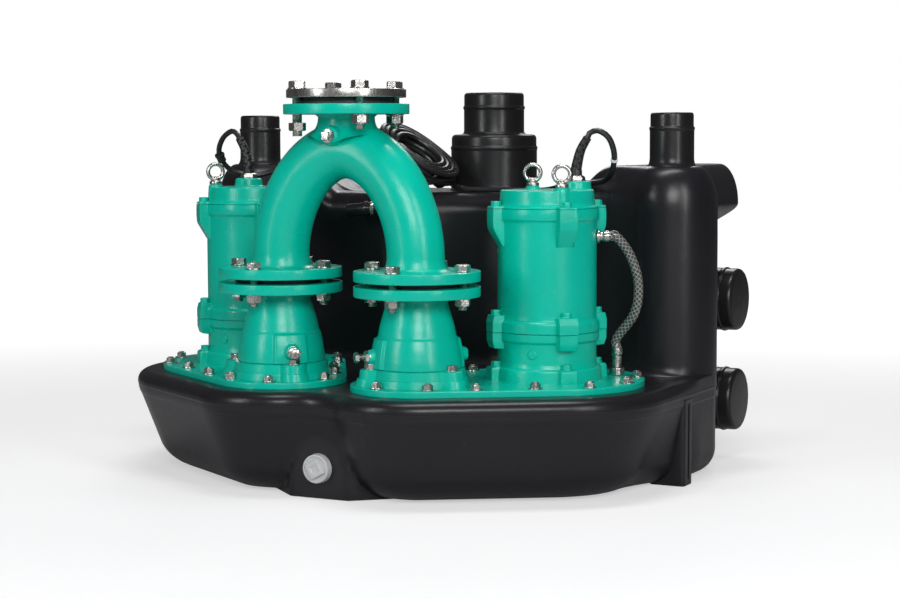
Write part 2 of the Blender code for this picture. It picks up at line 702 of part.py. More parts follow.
def make_cables():
    """Bend relief and free cable from each gland, and the coil that both end in."""
    relief = smooth_path(RELIEF, 11)
    taper = np.interp(np.linspace(0, 1, len(relief)), (0, 1), (0.0085, 0.0062))
    for sign, word in SIDES:
        sleeve = tube("bend_relief_" + word, relief * (sign, 1, 1), taper, 2)
        place(as_mesh(sleeve), RUBBER)
        along = (relief[-1] - relief[-2]) / np.linalg.norm(relief[-1] - relief[-2])
        start = [(relief[-1] + along * reach) * (sign, 1, 1) for reach in (SEAT, 0.004, 0.009)]
        a = ENTRIES[word]
        out = np.array([math.cos(a) * math.cos(COIL_LEAN), math.sin(a),
                        -math.cos(a) * math.sin(COIL_LEAN)])
        end = [COIL_AT + out * (COIL_R + 4 * CABLE_R + reach) for reach in (0.009, 0.004, SEAT)]
        route = start + (CABLE_RIGHT if sign > 0 else CABLE_LEFT) + end
        lead = tube("power_cable_" + word, smooth_path(route, 36), CABLE_R, 2)
        place(as_mesh(lead), RUBBER)
    outer, inner = COIL_R + 4 * CABLE_R, COIL_R - 4 * CABLE_R
    ring = turned("cable_coil", [(outer, COIL_HALF), (outer, -COIL_HALF), (inner, -COIL_HALF),
                                 (inner, COIL_HALF)], COIL_AT, (0, COIL_LEAN, 0), 24, ring=True)
    place(ring, RUBBER)


def make_hoses():
    """Clear vent hose from each motor's upper ring down to its cover plate."""
    for sign, word in SIDES:
        foot = Vector(side(sign, 0.366, 0.238, DECK + SEAT))
        tail = turned("hose_tail_low_" + word, [(0, 0.040), (0.0095, 0.040), (0.0095, 0.012),
                                                (0.0125, 0.012), (0.0125, 0), (0, 0)], foot,
                      segments=16)
        place(tail, STEEL)
        a = math.radians(20)
        out = Vector((sign * math.cos(a), math.sin(a), 0))
        start = Vector((*side(sign, *PUMP), 0.405)) + out * (BARREL_R + SEAT)
        upper = turned("hose_tail_high_" + word, [(0, 0.020), (0.0095, 0.020), (0.0095, 0.006),
                                                  (0.0115, 0.006), (0.0115, 0), (0, 0)],
                       start, (0, math.pi / 2, math.atan2(out.y, out.x)), 16)
        place(upper, STEEL)
        first = start + out * (0.020 + SEAT)
        last = foot + Vector((0, 0, 0.040 + SEAT))
        up = Vector((0, 0, 1))
        route = [first, first + out * 0.004, first + out * 0.010,
                 Vector(side(sign, 0.398, 0.212, 0.375)), Vector(side(sign, 0.407, 0.226, 0.330)),
                 Vector(side(sign, 0.398, 0.234, 0.280)), last + up * 0.020,
                 last + up * 0.004, last]
        hose = tube("vent_hose_" + word, smooth_path(route, 16), HOSE_R, 2)
        place(as_mesh(hose), CLEAR_HOSE)


make_tank()
make_drain_plug()
make_anchor_brackets()
make_sockets()
make_cover_plates()
make_valves()
make_pipe()
make_pumps()
make_cables()
make_hoses()
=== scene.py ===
# %% [markdown]
# # Dressing a twin pump sewage lifting station
#
# The solid model of this station is already packed: 44 plain pieces, in metres, on the floor
# at Z = 0. This lesson dresses them. It sets up the camera and the light, works out finer
# surfaces with numpy, and gives every surface a finish made from Blender's own nodes.
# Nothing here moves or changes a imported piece. A finer piece only takes its place in view.

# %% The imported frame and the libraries
import math

import bmesh
import bpy
import numpy as np
from mathutils import Matrix, Vector


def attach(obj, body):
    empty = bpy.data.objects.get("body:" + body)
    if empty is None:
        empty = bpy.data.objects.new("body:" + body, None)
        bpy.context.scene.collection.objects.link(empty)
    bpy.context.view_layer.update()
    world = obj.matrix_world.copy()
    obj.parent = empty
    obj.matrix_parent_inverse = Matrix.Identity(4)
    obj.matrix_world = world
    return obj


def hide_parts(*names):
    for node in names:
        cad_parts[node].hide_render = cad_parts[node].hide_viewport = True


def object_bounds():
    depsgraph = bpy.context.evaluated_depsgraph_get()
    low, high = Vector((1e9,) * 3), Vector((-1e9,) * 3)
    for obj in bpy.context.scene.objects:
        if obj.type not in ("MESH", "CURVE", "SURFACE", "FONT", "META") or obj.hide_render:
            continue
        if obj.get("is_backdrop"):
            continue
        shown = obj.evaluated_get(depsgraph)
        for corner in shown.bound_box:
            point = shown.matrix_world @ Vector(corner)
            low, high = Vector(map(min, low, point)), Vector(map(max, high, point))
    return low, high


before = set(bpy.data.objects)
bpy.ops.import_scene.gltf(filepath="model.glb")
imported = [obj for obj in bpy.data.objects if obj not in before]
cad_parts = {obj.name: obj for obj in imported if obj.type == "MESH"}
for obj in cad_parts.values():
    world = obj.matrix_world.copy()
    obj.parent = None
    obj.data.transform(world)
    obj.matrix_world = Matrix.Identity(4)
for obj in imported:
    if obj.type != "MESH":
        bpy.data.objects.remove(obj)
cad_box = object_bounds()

print("packed nodes:", len(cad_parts))
print("packed box:", [[round(c, 3) for c in corner] for corner in cad_box])

# %% [markdown]
# ## The station's own zero
#
# The station is laid out from the line through its two check valves, because the pipe, the
# plates and the pumps are all placed from there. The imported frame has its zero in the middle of
# the footprint instead. So every surface below is worked out from the valve line, and the last
# step of making a mesh slides it by this one distance.

# %% Named places of the station, from the valve line
VALVE_LINE = -0.2715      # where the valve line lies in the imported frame
SIDES = ((-1, "left"), (1, "right"))
VALVE = np.array((0.125, 0.0))
PUMP = np.array((0.277, 0.1585))
VENT = np.array((0.404, 0.385))
INLET = np.array((0.0, 0.543))
print("valve line at y =", VALVE_LINE)

# %% [markdown]
# ## Camera
#
# The camera stands where the photographer's stood. Its place, turn and focal length were solved
# from about ninety edges and bolts that were measured in the picture, so parallel edges run
# together just as they do there. A long lens of about 79 mm keeps the station from looking wide.

# %% Camera
PICTURE_WIDTH = 900
FOCAL_PIXELS = 1973.4


def look_along(turn, down, roll):
    """Camera axes: forward is turned left of +Y and tipped down, then rolled about itself."""
    forward = np.array((-math.sin(turn) * math.cos(down), math.cos(turn) * math.cos(down),
                        -math.sin(down)))
    right = np.array((math.cos(turn), math.sin(turn), 0.0))
    up = np.cross(right, forward)
    rolled_right = right * math.cos(roll) + up * math.sin(roll)
    rolled_up = up * math.cos(roll) - right * math.sin(roll)
    return rolled_right, rolled_up, forward


camera_data = bpy.data.cameras.new("station camera")
camera_data.sensor_width = 36.0
camera_data.lens = FOCAL_PIXELS / PICTURE_WIDTH * 36.0
camera = bpy.data.objects.new("station camera", camera_data)
right, up, forward = look_along(*np.radians((26.808, 4.8095, -0.179)))
pose = Matrix.Identity(4)
for row in range(3):
    pose[row][0], pose[row][1], pose[row][2] = right[row], up[row], -forward[row]
pose.translation = (1.5617, -3.0001, 0.5691)
camera.matrix_world = pose
bpy.context.scene.collection.objects.link(camera)
bpy.context.scene.camera = camera
print("lens", round(camera_data.lens, 1), "mm")

# %% [markdown]
# ## Surfaces as grids of points
#
# Nearly all of the pieces below are one idea: a table of points with rows and columns, worked
# out in one go from a formula, whose neighbours are joined by four-sided faces. A patch is the
# points and the faces. Its ends can be closed by a fan to their middle. Patches are gathered into
# one mesh, doubles are merged, and the faces are made to point outwards at the end, so that no
# formula has to care about which way round it runs.

# %% Patches and meshes


def patch(points, wrap=True, close=(True, True)):
    """Grid of points to faces: each point is joined to the next in its row and its column.

    With wrap, the last column joins the first. A closed end gets a fan to the row's mean.
    """
    points = np.asarray(points, float)
    rows, columns = points.shape[:2]
    index = np.arange(rows * columns).reshape(rows, columns)
    if wrap:
        index = np.column_stack([index, index[:, :1]])
    quads = np.stack([index[:-1, :-1], index[1:, :-1], index[1:, 1:], index[:-1, 1:]], -1)
    spots = [points.reshape(-1, 3)]
    fans = []
    for end, row in ((close[0], 0), (close[1], -1)):
        if end:
            pole = rows * columns + len(fans)
            spots.append(points[row].mean(axis=0)[None])
            edge = np.column_stack([index[row][:-1], index[row][1:]])
            fans.append(np.column_stack([edge, np.full(len(edge), pole)]))
    return np.vstack(spots), quads.reshape(-1, 4), np.vstack(fans) if fans else np.empty((0, 3))


def moved(shape, rotation=None, shift=(0, 0, 0)):
    """The patch turned by a 3 by 3 matrix about the origin, then shifted."""
    spots = shape[0] if rotation is None else shape[0] @ np.asarray(rotation, float).T
    return (spots + np.asarray(shift, float), *shape[1:])


def mirrored(shapes, sign):
    """The patches for one side: x changes its sign on the left."""
    return [(s[0] * (sign, 1, 1), *s[1:]) for s in shapes]


def make_mesh(name, shapes, crease=35):
    """Join patches into one mesh: merge doubles, point the faces outwards, keep sharp edges."""
    starts = np.cumsum([0] + [len(s[0]) for s in shapes])
    spots = np.vstack([s[0] for s in shapes]) + (0, VALVE_LINE, 0)
    faces = []
    for start, (_, quads, fans) in zip(starts, shapes):
        faces += (quads + start).tolist() + (fans + start).astype(int).tolist()
    mesh = bpy.data.meshes.new(name)
    mesh.from_pydata(spots.tolist(), [], faces)
    cage = bmesh.new()
    cage.from_mesh(mesh)
    bmesh.ops.remove_doubles(cage, verts=cage.verts, dist=0.00002)
    bmesh.ops.dissolve_degenerate(cage, edges=cage.edges, dist=0.000005)
    bmesh.ops.recalc_face_normals(cage, faces=cage.faces)
    cage.to_mesh(mesh)
    cage.free()
    mesh.shade_smooth()
    mesh.set_sharp_from_angle(angle=math.radians(crease))
    return mesh


total = {"faces": 0}


def add_piece(name, shapes, look, replaces=(), crease=35):
    """New object from patches, with its finish and the nodes it stands for."""
    thing = bpy.data.objects.new(name, make_mesh(name, shapes, crease))
    bpy.context.scene.collection.objects.link(thing)
    thing.data.materials.append(look)
    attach(thing, "root")
    if replaces:
        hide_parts(*replaces)
    total["faces"] += len(thing.data.polygons)
    print(f"{name}: {len(thing.data.polygons)} faces")
    return thing


# %% [markdown]
# ## Turned and swept shapes
#
# A casting, a moulded socket and a washer are all turned: a profile goes once round an axis.
# A cable is swept: a circle goes along a line. Sharp corners never look real, so one helper cuts
# each corner of a profile and puts a short curve in its place. It works on any number of columns
# at once, which lets a lug's reach and width be rounded together with its height.

# %% Rounded profiles, turning and sweeping


def rounded(corners, radii, steps=5):
    """Each corner b between a and c becomes the curve (1-t)^2 p + 2t(1-t) b + t^2 q.

    p and q lie at the given distance from b, and never past the middle of an edge.
    """
    corners = np.asarray(corners, float)
    radii = np.broadcast_to(radii, len(corners))
    t = np.linspace(0, 1, steps)[:, None]
    line = [corners[:1]]
    for a, b, c, radius in zip(corners, corners[1:], corners[2:], radii[1:]):
        if radius == 0:
            line.append(b[None])
            continue
        back, ahead = np.linalg.norm(a - b), np.linalg.norm(c - b)
        p = b + (a - b) * min(radius / back, 0.49)
        q = b + (c - b) * min(radius / ahead, 0.49)
        line.append((1 - t) ** 2 * p + 2 * t * (1 - t) * b + t**2 * q)
    line.append(corners[-1:])
    return np.vstack(line)


def circle(count):
    """Angles once round, as even steps from zero."""
    return np.linspace(0, math.tau, count, endpoint=False)


def axes_of(direction):
    """3 by 3 turn that takes +Z to a direction."""
    return np.array(Vector(direction).to_track_quat("Z", "Y").to_matrix())


def turned(profile, at=(0, 0, 0), direction=(0, 0, 1), around=64, section=None, ring=False):
    """Point = at + axes * (r f(a) cos a, r f(a) sin a, z), for profile rows (r, z) and angles a.

    The section f is 1 for a round piece. A ring's profile is closed on itself.
    """
    profile = np.asarray(profile, float)
    if ring:
        profile = np.vstack([profile, profile[:1]])
    a = circle(around)
    f = np.ones(around) if section is None else section(a)
    r, z = profile[:, :1], profile[:, 1:]
    points = np.stack([r * f * np.cos(a), r * f * np.sin(a), z + 0 * a], -1)
    ends = (False, False) if ring else (profile[0, 0] > 1e-6, profile[-1, 0] > 1e-6)
    return moved(patch(points, close=ends), axes_of(direction), at)


def hexagon(a):
    """Six flats: distance to the edge over the distance to a flat, 1 / cos of the turn from it."""
    return 1 / np.cos((a + math.pi / 6) % (math.pi / 3) - math.pi / 6)


def along(line, per_point):
    """Frames along a line: tangent, and two normals carried forward without twist."""
    tangent = np.gradient(line, axis=0)
    tangent /= np.linalg.norm(tangent, axis=1)[:, None]
    first = np.cross(tangent[0], (0.123, 0.456, 0.881))
    normals = [first / np.linalg.norm(first)]
    for before, here in zip(tangent, tangent[1:]):
        step = normals[-1] - here * (normals[-1] @ here)
        normals.append(step / np.linalg.norm(step))
    normal = np.array(normals)
    return tangent, normal, np.cross(tangent, normal)


def swept(line, radius, around=12, close=(True, True)):
    """Point = line(s) + r(s, a) (n cos a + b sin a), a circle carried along a line."""
    line = np.asarray(line, float)
    _, n, b = along(line, None)
    a = circle(around)
    r = np.broadcast_to(np.asarray(radius, float).reshape(-1, 1) if np.ndim(radius) < 2
                        else radius, (len(line), around))
    points = line[:, None] + r[..., None] * (n[:, None] * np.cos(a)[:, None]
                                              + b[:, None] * np.sin(a)[:, None])
    return patch(points, close=close)


def read_evenly(line, count):
    """The same line read at evenly spaced places."""
    steps = np.linalg.norm(np.diff(line, axis=0), axis=1)
    far = np.concatenate([[0], np.cumsum(steps)])
    wanted = np.linspace(0, far[-1], count)
    return np.column_stack([np.interp(wanted, far, line[:, k]) for k in range(line.shape[1])])


def smooth_line(route, count, extra=24):
    """Catmull-Rom curve through the route's points, read evenly.

    Between b and c it is half of 2b + (c-a)t + (2a-5b+4c-d)t^2 + (3b-a-3c+d)t^3.
    """
    route = np.asarray(route, float)
    ends = np.vstack([2 * route[0] - route[1], route, 2 * route[-1] - route[-2]])
    t = np.linspace(0, 1, extra, endpoint=False)[:, None]
    runs = [0.5 * (2 * b + (c - a) * t + (2 * a - 5 * b + 4 * c - d) * t**2
                   + (3 * b - a - 3 * c + d) * t**3)
            for a, b, c, d in zip(ends, ends[1:], ends[2:], ends[3:])]
    return read_evenly(np.vstack([*runs, route[-1:]]), count)


def length_of(line):
    """Sum of the steps between points."""
    return float(np.linalg.norm(np.diff(line, axis=0), axis=1).sum())


test_line = smooth_line([(0, 0, 0), (0, 0, 0.1), (0, 0.1, 0.1)], 20)
print("a bent test line is", round(length_of(test_line), 3), "m long")

# %% [markdown]
# ## Shader maths as plain sums
#
# A material is a small program. Writing it with one call for each Math node hides what it works
# out, so one small class stands for a socket and lets it be added, multiplied and compared with
# the usual signs. Each sign adds one Math node. Any other node comes from `Look.node`, which
# sets the node's own settings first and then its sockets.

# %% Shader values and looks


class Val:
    """A value or colour socket of a material."""

    def __init__(self, look, socket):
        self.look, self.socket = look, socket

    def math(self, operation, *others):
        """One Math node on this value and others."""
        return self.look.node("ShaderNodeMath", {"operation": operation},
                              {k: v for k, v in enumerate((self, *others))})

    def __add__(self, other):
        return self.math("ADD", other)

    def __sub__(self, other):
        return self.math("SUBTRACT", other)

    def __rsub__(self, other):
        return self.look.node("ShaderNodeMath", {"operation": "SUBTRACT"}, {0: other, 1: self})

    def __mul__(self, other):
        return self.math("MULTIPLY", other)

    def __truediv__(self, other):
        return self.math("DIVIDE", other)

    def __pow__(self, other):
        return self.math("POWER", other)

    __radd__, __rmul__ = __add__, __mul__


class Look:
    """One material on the Principled shader. Constants go straight onto the shader's sockets."""

    def __init__(self, name, **constants):
        self.material = bpy.data.materials.new(name)
        self.material.use_nodes = True
        self.tree = self.material.node_tree
        self.shader = self.tree.nodes["Principled BSDF"]
        for label, value in constants.items():
            self.shader.inputs[label.replace("_", " ").title()
                               .replace("Ior", "IOR")].default_value = value
        self.place = Val(self, self.tree.nodes.new("ShaderNodeTexCoord").outputs["Object"])

    def node(self, kind, settings=None, sockets=None, out=0):
        """Add a node: its settings first, then the values or links of its sockets."""
        made = self.tree.nodes.new(kind)
        for label, value in (settings or {}).items():
            if label == "stops":
                ramp = made.color_ramp
                for spot, shade in value[2:]:
                    ramp.elements.new(spot)
                for element, (spot, shade) in zip(ramp.elements, sorted(value)):
                    element.position = spot
                    element.color = (shade, shade, shade, 1)
            else:
                setattr(made, label, value)
        for label, value in (sockets or {}).items():
            self.set(made.inputs[label], value)
        return Val(self, made.outputs[out])

    def set(self, socket, value):
        """Link a value to a socket, or write a plain number or colour on it."""
        if isinstance(value, Val):
            self.tree.links.new(value.socket, socket)
        elif isinstance(value, (tuple, list)) and len(value) == 3 and socket.type == "RGBA":
            socket.default_value = (*value, 1)
        else:
            socket.default_value = value

    def noise(self, scale, detail=2.0, stretch=None, roughness=0.5):
        """Noise from 0 to 1, about one blob per 1/scale metres, drawn out where stretch is small."""
        spot = self.place
        if stretch:
            spot = self.node("ShaderNodeMapping", None, {"Vector": spot, "Scale": stretch})
        return self.node("ShaderNodeTexNoise", None, {"Vector": spot, "Scale": scale,
                                                      "Detail": detail, "Roughness": roughness})

    def ramp(self, value, low, high):
        """0 below low, 1 above high, smooth between."""
        return self.node("ShaderNodeMapRange", {"interpolation_type": "SMOOTHSTEP"},
                         {"Value": value, "From Min": low, "From Max": high})

    def mix(self, share, first, second):
        """Colour from first to second by a share."""
        return self.node("ShaderNodeMix", {"data_type": "RGBA"}, {0: share, 6: first, 7: second}, 2)

    def bump(self, height, distance, strength=1.0, under=None):
        """Normal pushed by a height from 0 to 1, over a distance in metres."""
        sockets = {"Height": height, "Distance": distance, "Strength": strength}
        if under is not None:
            sockets["Normal"] = under
        return self.node("ShaderNodeBump", None, sockets)

    def finish(self, **values):
        """Feed the shader and hand over the material."""
        for label, value in values.items():
            self.set(self.shader.inputs[label.replace("_", " ").title()], value)
        return self.material


# %% [markdown]
# ## Black moulded polyethylene
#
# The tank is moulded by turning a hot mould, so its skin is satin with a very fine texture and
# slow waves, and it has pale rubs where straps and hands have been. Three noises do it: a broad
# one for the waves, a fine one for the skin, and a drawn-out one for the rubs.

# %% Tank finish


def moulded_black(name, dark, pale, gloss):
    """Satin black plastic: broad waves, fine skin and faint rubs."""
    look = Look(name, ior=1.5, specular_ior_level=0.36)
    waves = look.noise(9.0, 2)
    skin = look.noise(900.0, 3)
    rubs = look.ramp(look.noise(55.0, 6, (1, 1, 0.25), 0.7), 0.60, 0.74)
    specks = look.ramp(look.noise(420.0, 2), 0.70, 0.78)
    colour = look.mix(waves, dark, pale)
    colour = look.mix(rubs * 0.12 + specks * 0.06, colour, (0.10, 0.10, 0.11))
    rough = gloss + (waves - 0.5) * 0.10 + rubs * 0.10 + (skin - 0.5) * 0.06
    normal = look.bump(look.noise(38.0, 2), 0.0012, 0.35)
    normal = look.bump(skin, 0.00016, 0.30, normal)
    return look.finish(base_color=colour, roughness=rough, normal=normal)


tank_black = moulded_black("black moulded polyethylene", (0.0085, 0.0082, 0.0105),
                           (0.0135, 0.0128, 0.0160), 0.31)
socket_black = moulded_black("black socket plastic", (0.009, 0.009, 0.010),
                             (0.014, 0.014, 0.015), 0.28)
print("tank finishes:", tank_black.name, "and", socket_black.name)

# %% [markdown]
# ## Green gloss paint on cast iron
#
# The castings are dipped in a thick teal-green paint. It is glossy, but the rough casting under it
# shows through as a fine grain that breaks each highlight into sparks, with a few pits. The grain
# is a fine noise, the pits are the low spots of a cell pattern, and a thin clear coat on top keeps
# the highlight crisp.

# %% Green paint


def cast_green(name, grain):
    """Gloss paint: slow tone changes, a cast grain in the normal, and small dark pits."""
    look = Look(name, ior=1.5, specular_ior_level=0.34)
    tone = look.noise(14.0, 3)
    cells = look.node("ShaderNodeTexVoronoi", None, {"Vector": look.place, "Scale": 75.0})
    pits = 1 - look.ramp(cells, 0.02, 0.055)
    colour = look.mix(tone, (0.0, 0.43, 0.315), (0.0, 0.50, 0.372))
    colour = look.mix(pits * 0.7, colour, (0.0, 0.10, 0.075))
    rough = 0.25 + (look.noise(30.0, 3) - 0.5) * 0.16
    normal = look.bump(look.noise(60.0, 2), 0.0010, 0.25)
    normal = look.bump(look.noise(330.0, 3) - pits * 0.8, 0.0007, grain, normal)
    return look.finish(base_color=colour, roughness=rough, normal=normal)


paint = cast_green("green paint on castings", 0.42)
smooth_paint = cast_green("green paint on machined faces", 0.20)
print("paints:", paint.name, "and", smooth_paint.name)

# %% [markdown]
# ## Stainless fasteners, the steel flange, rubber and plastics
#
# Bolts are bright but not mirrors: forging and handling leave them mottled, so the roughness
# varies and small dark stains sit in the noise's valleys. The loose flange is the same metal,
# with its stains drawn out upright. Rubber and cable sheath are black with different gloss, and the
# drain plug is a pale grey moulding with a fine grain.

# %% Steel, rubber and plastics


def stained_steel(name, pale, dark, gloss, scale, stretch=None):
    """Metal with mottled stains and a varied roughness."""
    look = Look(name, metallic=1.0)
    stains = look.ramp(look.noise(scale, 5, stretch, 0.65), 0.42, 0.72)
    fine = look.noise(scale * 7, 3, stretch)
    colour = look.mix(stains, pale, dark)
    rough = gloss + stains * 0.16 + (fine - 0.5) * 0.14
    normal = look.bump(fine, 0.00025, 0.35)
    return look.finish(base_color=colour, roughness=rough, normal=normal)


bolt_steel = stained_steel("stainless bolts", (0.58, 0.56, 0.53), (0.20, 0.19, 0.18), 0.24, 190.0)
flange_steel = stained_steel("loose steel flange", (0.62, 0.61, 0.59), (0.22, 0.21, 0.20), 0.24,
                             60.0, (1, 1, 0.35))
eye_steel = stained_steel("cast lifting eyes", (0.60, 0.58, 0.55), (0.24, 0.23, 0.21), 0.26, 150.0)


def plain_plastic(name, shade, gloss, grain, scale=600.0):
    """Plastic or rubber: one shade with a light mottle and a fine grain."""
    look = Look(name, ior=1.5)
    mottle = look.noise(40.0, 3)
    colour = look.mix(mottle, tuple(c * 0.85 for c in shade), tuple(c * 1.15 for c in shade))
    rough = gloss + (mottle - 0.5) * 0.12
    return look.finish(base_color=colour, roughness=rough,
                       normal=look.bump(look.noise(scale, 3), 0.0002, grain))


sheath = plain_plastic("black cable sheath", (0.014, 0.014, 0.015), 0.33, 0.25)
relief_rubber = plain_plastic("ribbed relief rubber", (0.016, 0.016, 0.017), 0.45, 0.35)
gasket_rubber = plain_plastic("gasket rubber", (0.018, 0.018, 0.018), 0.55, 0.4)
plug_grey = plain_plastic("light grey plug plastic", (0.50, 0.51, 0.52), 0.40, 0.3, 900.0)
tie_white = plain_plastic("pale cable tie", (0.72, 0.73, 0.72), 0.40, 0.2)
print("six steels, rubbers and plastics made")

# %% [markdown]
# ## Braided hose
#
# The vent hose is clear plastic over a crossed yarn, with darkness inside. Real see-through
# plastic would need a hollow tube and light inside it, and at this size the eye only reads a dark
# tube with pale crossing threads under a gloss. So the threads are drawn on the hose's own UV map:
# u runs round it and v along it in turns, and two sets of slanting stripes are the two yarns.

# %% Hose finish
hose_look = Look("braided clear hose", ior=1.5, coat_roughness=0.05)
uv_map = hose_look.node("ShaderNodeUVMap", {"uv_map": "braid"})
uv_u = hose_look.node("ShaderNodeSeparateXYZ", None, {"Vector": uv_map})
uv_v = Val(hose_look, uv_u.socket.node.outputs[1])
yarns = None
for slant in (1, -1):
    stripe = ((uv_u * 6.0 + uv_v * (6.0 * slant)) * math.tau).math("COSINE")
    band = hose_look.ramp(stripe, 0.72, 0.92)
    yarns = band if yarns is None else yarns.math("MAXIMUM", band)
hose_tone = hose_look.noise(60.0, 3)
hose_colour = hose_look.mix(yarns, (0.035, 0.037, 0.034), (0.30, 0.31, 0.29))
hose_finish = hose_look.finish(
    base_color=hose_colour, roughness=0.22 + hose_tone * 0.10, coat_weight=0.8,
    normal=hose_look.bump(yarns, 0.0004, 0.5))
print("hose finish:", hose_finish.name)

# %% [markdown]
# ## The cables
#
# Each pump has one power cable. It rises out of a gland through a ribbed rubber relief, bends over
# in a free loop, and runs back over the tank to a hank that leans on the saddle between the
# shoulders. Its whole length is about four metres, and nearly all of it is in the hank. So each
# cable is one line: the loop and the run first, then eight turns, each a cable's width from the
# next, and then a bare end. Cables come first because their bulk decides how much room they need.

# %% Cable routes
CABLE_R = 0.00475
RELIEF = [(0.311, 0.1985, 0.5013), (0.311, 0.1985, 0.507), (0.311, 0.1985, 0.514),
          (0.318, 0.1985, 0.541), (0.330, 0.1990, 0.562)]
RUNS = {
    "right": [(0.348, 0.201, 0.573), (0.364, 0.206, 0.561), (0.369, 0.216, 0.536),
              (0.358, 0.236, 0.510), (0.334, 0.268, 0.493), (0.298, 0.300, 0.487),
              (0.255, 0.330, 0.486), (0.215, 0.362, 0.479), (0.165, 0.395, 0.4710),
              (0.100, 0.402, 0.4705), (0.040, 0.397, 0.4707), (0.008, 0.397, 0.4722)],
    "left": [(-0.348, 0.201, 0.574), (-0.370, 0.206, 0.560), (-0.383, 0.216, 0.534),
             (-0.374, 0.238, 0.506), (-0.342, 0.266, 0.496), (-0.300, 0.288, 0.508),
             (-0.262, 0.303, 0.531), (-0.226, 0.317, 0.558), (-0.197, 0.330, 0.578),
             (-0.172, 0.344, 0.586)],
}
HANK_R = 0.0625
HANK_HALF = 0.019
HANK_LEAN = math.radians(36)
HANK_AT = np.array((-0.085, 0.397, 0.4653 + (HANK_R + 4 * CABLE_R) * math.sin(HANK_LEAN)
                    + HANK_HALF * math.cos(HANK_LEAN)))
ENTRIES = {"right": 0.0, "left": math.radians(-150)}
TURNS = 8
print("hank centre", HANK_AT.round(3))


def hank_point(angle, out, over):
    """Place in the leaning hank: angle round it, distance out from the middle, height over it."""
    flat = np.stack([out * np.cos(angle), out * np.sin(angle), over], -1)
    c, s = math.cos(HANK_LEAN), math.sin(HANK_LEAN)
    return HANK_AT + flat @ np.array([[c, 0, -s], [0, 1, 0], [s, 0, c]])


def hank_turns(word):
    """Eight turns: one lattice cell for each turn, changed smoothly where a new turn begins.

    Two slow waves keep the turns from lying like a machined spring.
    """
    first = 0 if word == "right" else 1
    cells = [(k // 2, 2 * (k % 2) + first) for k in range(TURNS)]
    start = ENTRIES[word]
    spins = np.linspace(0, TURNS, TURNS * 28 + 1)[:-6]
    whole = np.minimum(spins.astype(int), TURNS - 1)
    part = spins - whole
    blend = np.clip((part - 0.86) / 0.14, 0, 1)
    blend = blend * blend * (3 - 2 * blend)
    here = np.array(cells, float)[whole]
    after = np.array(cells, float)[np.minimum(whole + 1, TURNS - 1)]
    cell = here + (after - here) * blend[:, None]
    angle = start + spins * math.tau * (1 if word == "right" else -1)
    out = HANK_R + (1.5 - cell[:, 0]) * 2.02 * CABLE_R
    over = (cell[:, 1] - 1.5) * 2.02 * CABLE_R
    out = out + 0.0015 * np.sin(2 * angle + 1.3 * cell[:, 0]) * (cell[:, 0] > 0)
    over = over + 0.0012 * np.sin(3 * angle + 2.1 * cell[:, 1])
    return hank_point(angle, out, over)


# %% [markdown]
# ## Sweeping a cable
#
# The run from the gland and the turns are one smooth line: the run's end leads straight into the
# first turn, on the outer side of the hank.

# %% Power cables
relief_line = smooth_line(RELIEF, 40)
relief_end = relief_line[-1]
relief_out = relief_line[-1] - relief_line[-2]
relief_out /= np.linalg.norm(relief_out)
for sign, word in SIDES:
    start = [(relief_end + relief_out * reach) * (sign, 1, 1) for reach in (0.0003, 0.004, 0.009)]
    turns = hank_turns(word)
    run = smooth_line(start + RUNS[word] + [turns[3], turns[6]], 90)
    line = np.vstack([run[:-2], smooth_line(turns[6:], len(turns) - 6)])
    cable = add_piece("power_cable_line_" + word, [swept(line, CABLE_R, 10)], sheath)
    path = [tuple(p) for p in line + (0, VALVE_LINE, 0)]
    metres = length_of(line)
    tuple(path[0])
    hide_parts("power_cable_" + word)
    if sign > 0:
        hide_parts("cable_coil")
    print(word, "cable:", round(metres, 2), "m")

# %% [markdown]
# ## The tank's outline
#
# Seen from above, the tank is a chain of arcs: a shallow notch on the middle line, a lobe round
# each check valve, a bigger lobe round each pump, a rounded pillar under each vent, and square
# shoulders at the back. One half is worked out from the arcs' centres and the lines that touch two
# circles, read at even steps, and mirrored. The tall part behind has its own front: a bay that
# curves round each pump.

# %% Plan outlines
NOTCH, LOBE_VALVE, LOBE_PUMP, PILLAR, BAY = 0.112, 0.147, 0.201, 0.077, 0.183
BACK, CORNER, SIDE_WALL, EAVES = 0.690, 0.060, 0.380, 0.435
FRONT_N, PILLAR_N, WALL_N, CORNER_N, BACK_N = 170, 34, 10, 16, 14


def arc(centre, radius, start, end, count=60):
    """Points at centre + radius * (cos a, sin a)."""
    a = np.linspace(start, end, count)
    return np.column_stack([centre[0] + radius * np.cos(a), centre[1] + radius * np.sin(a)])


def touching(first, first_r, second, second_r):
    """Direction in which a line touches both circles on their right: bearing - acos(step / gap)."""
    gap = np.subtract(second, first)
    return math.atan2(gap[1], gap[0]) - math.acos((first_r - second_r) / np.hypot(*gap))


TO_PUMP = touching(VALVE, LOBE_VALVE, PUMP, LOBE_PUMP)
TO_PILLAR = touching(PUMP, LOBE_PUMP, VENT, PILLAR)


def low_front():
    """Notch, valve lobe, pump lobe and the start of the pillar, on the right half."""
    notch_r = (LOBE_VALVE**2 - VALVE[0]**2 - NOTCH**2) / (2 * (NOTCH - LOBE_VALVE))
    notch_c = (0.0, -NOTCH - notch_r)
    lean = math.atan2(-notch_c[1], VALVE[0])
    return np.vstack([arc(notch_c, notch_r, math.pi / 2, lean),
                      arc(VALVE, LOBE_VALVE, lean - math.pi, TO_PUMP),
                      arc(PUMP, LOBE_PUMP, TO_PUMP, TO_PILLAR),
                      arc(VENT, PILLAR, TO_PILLAR, TO_PILLAR, 1)])


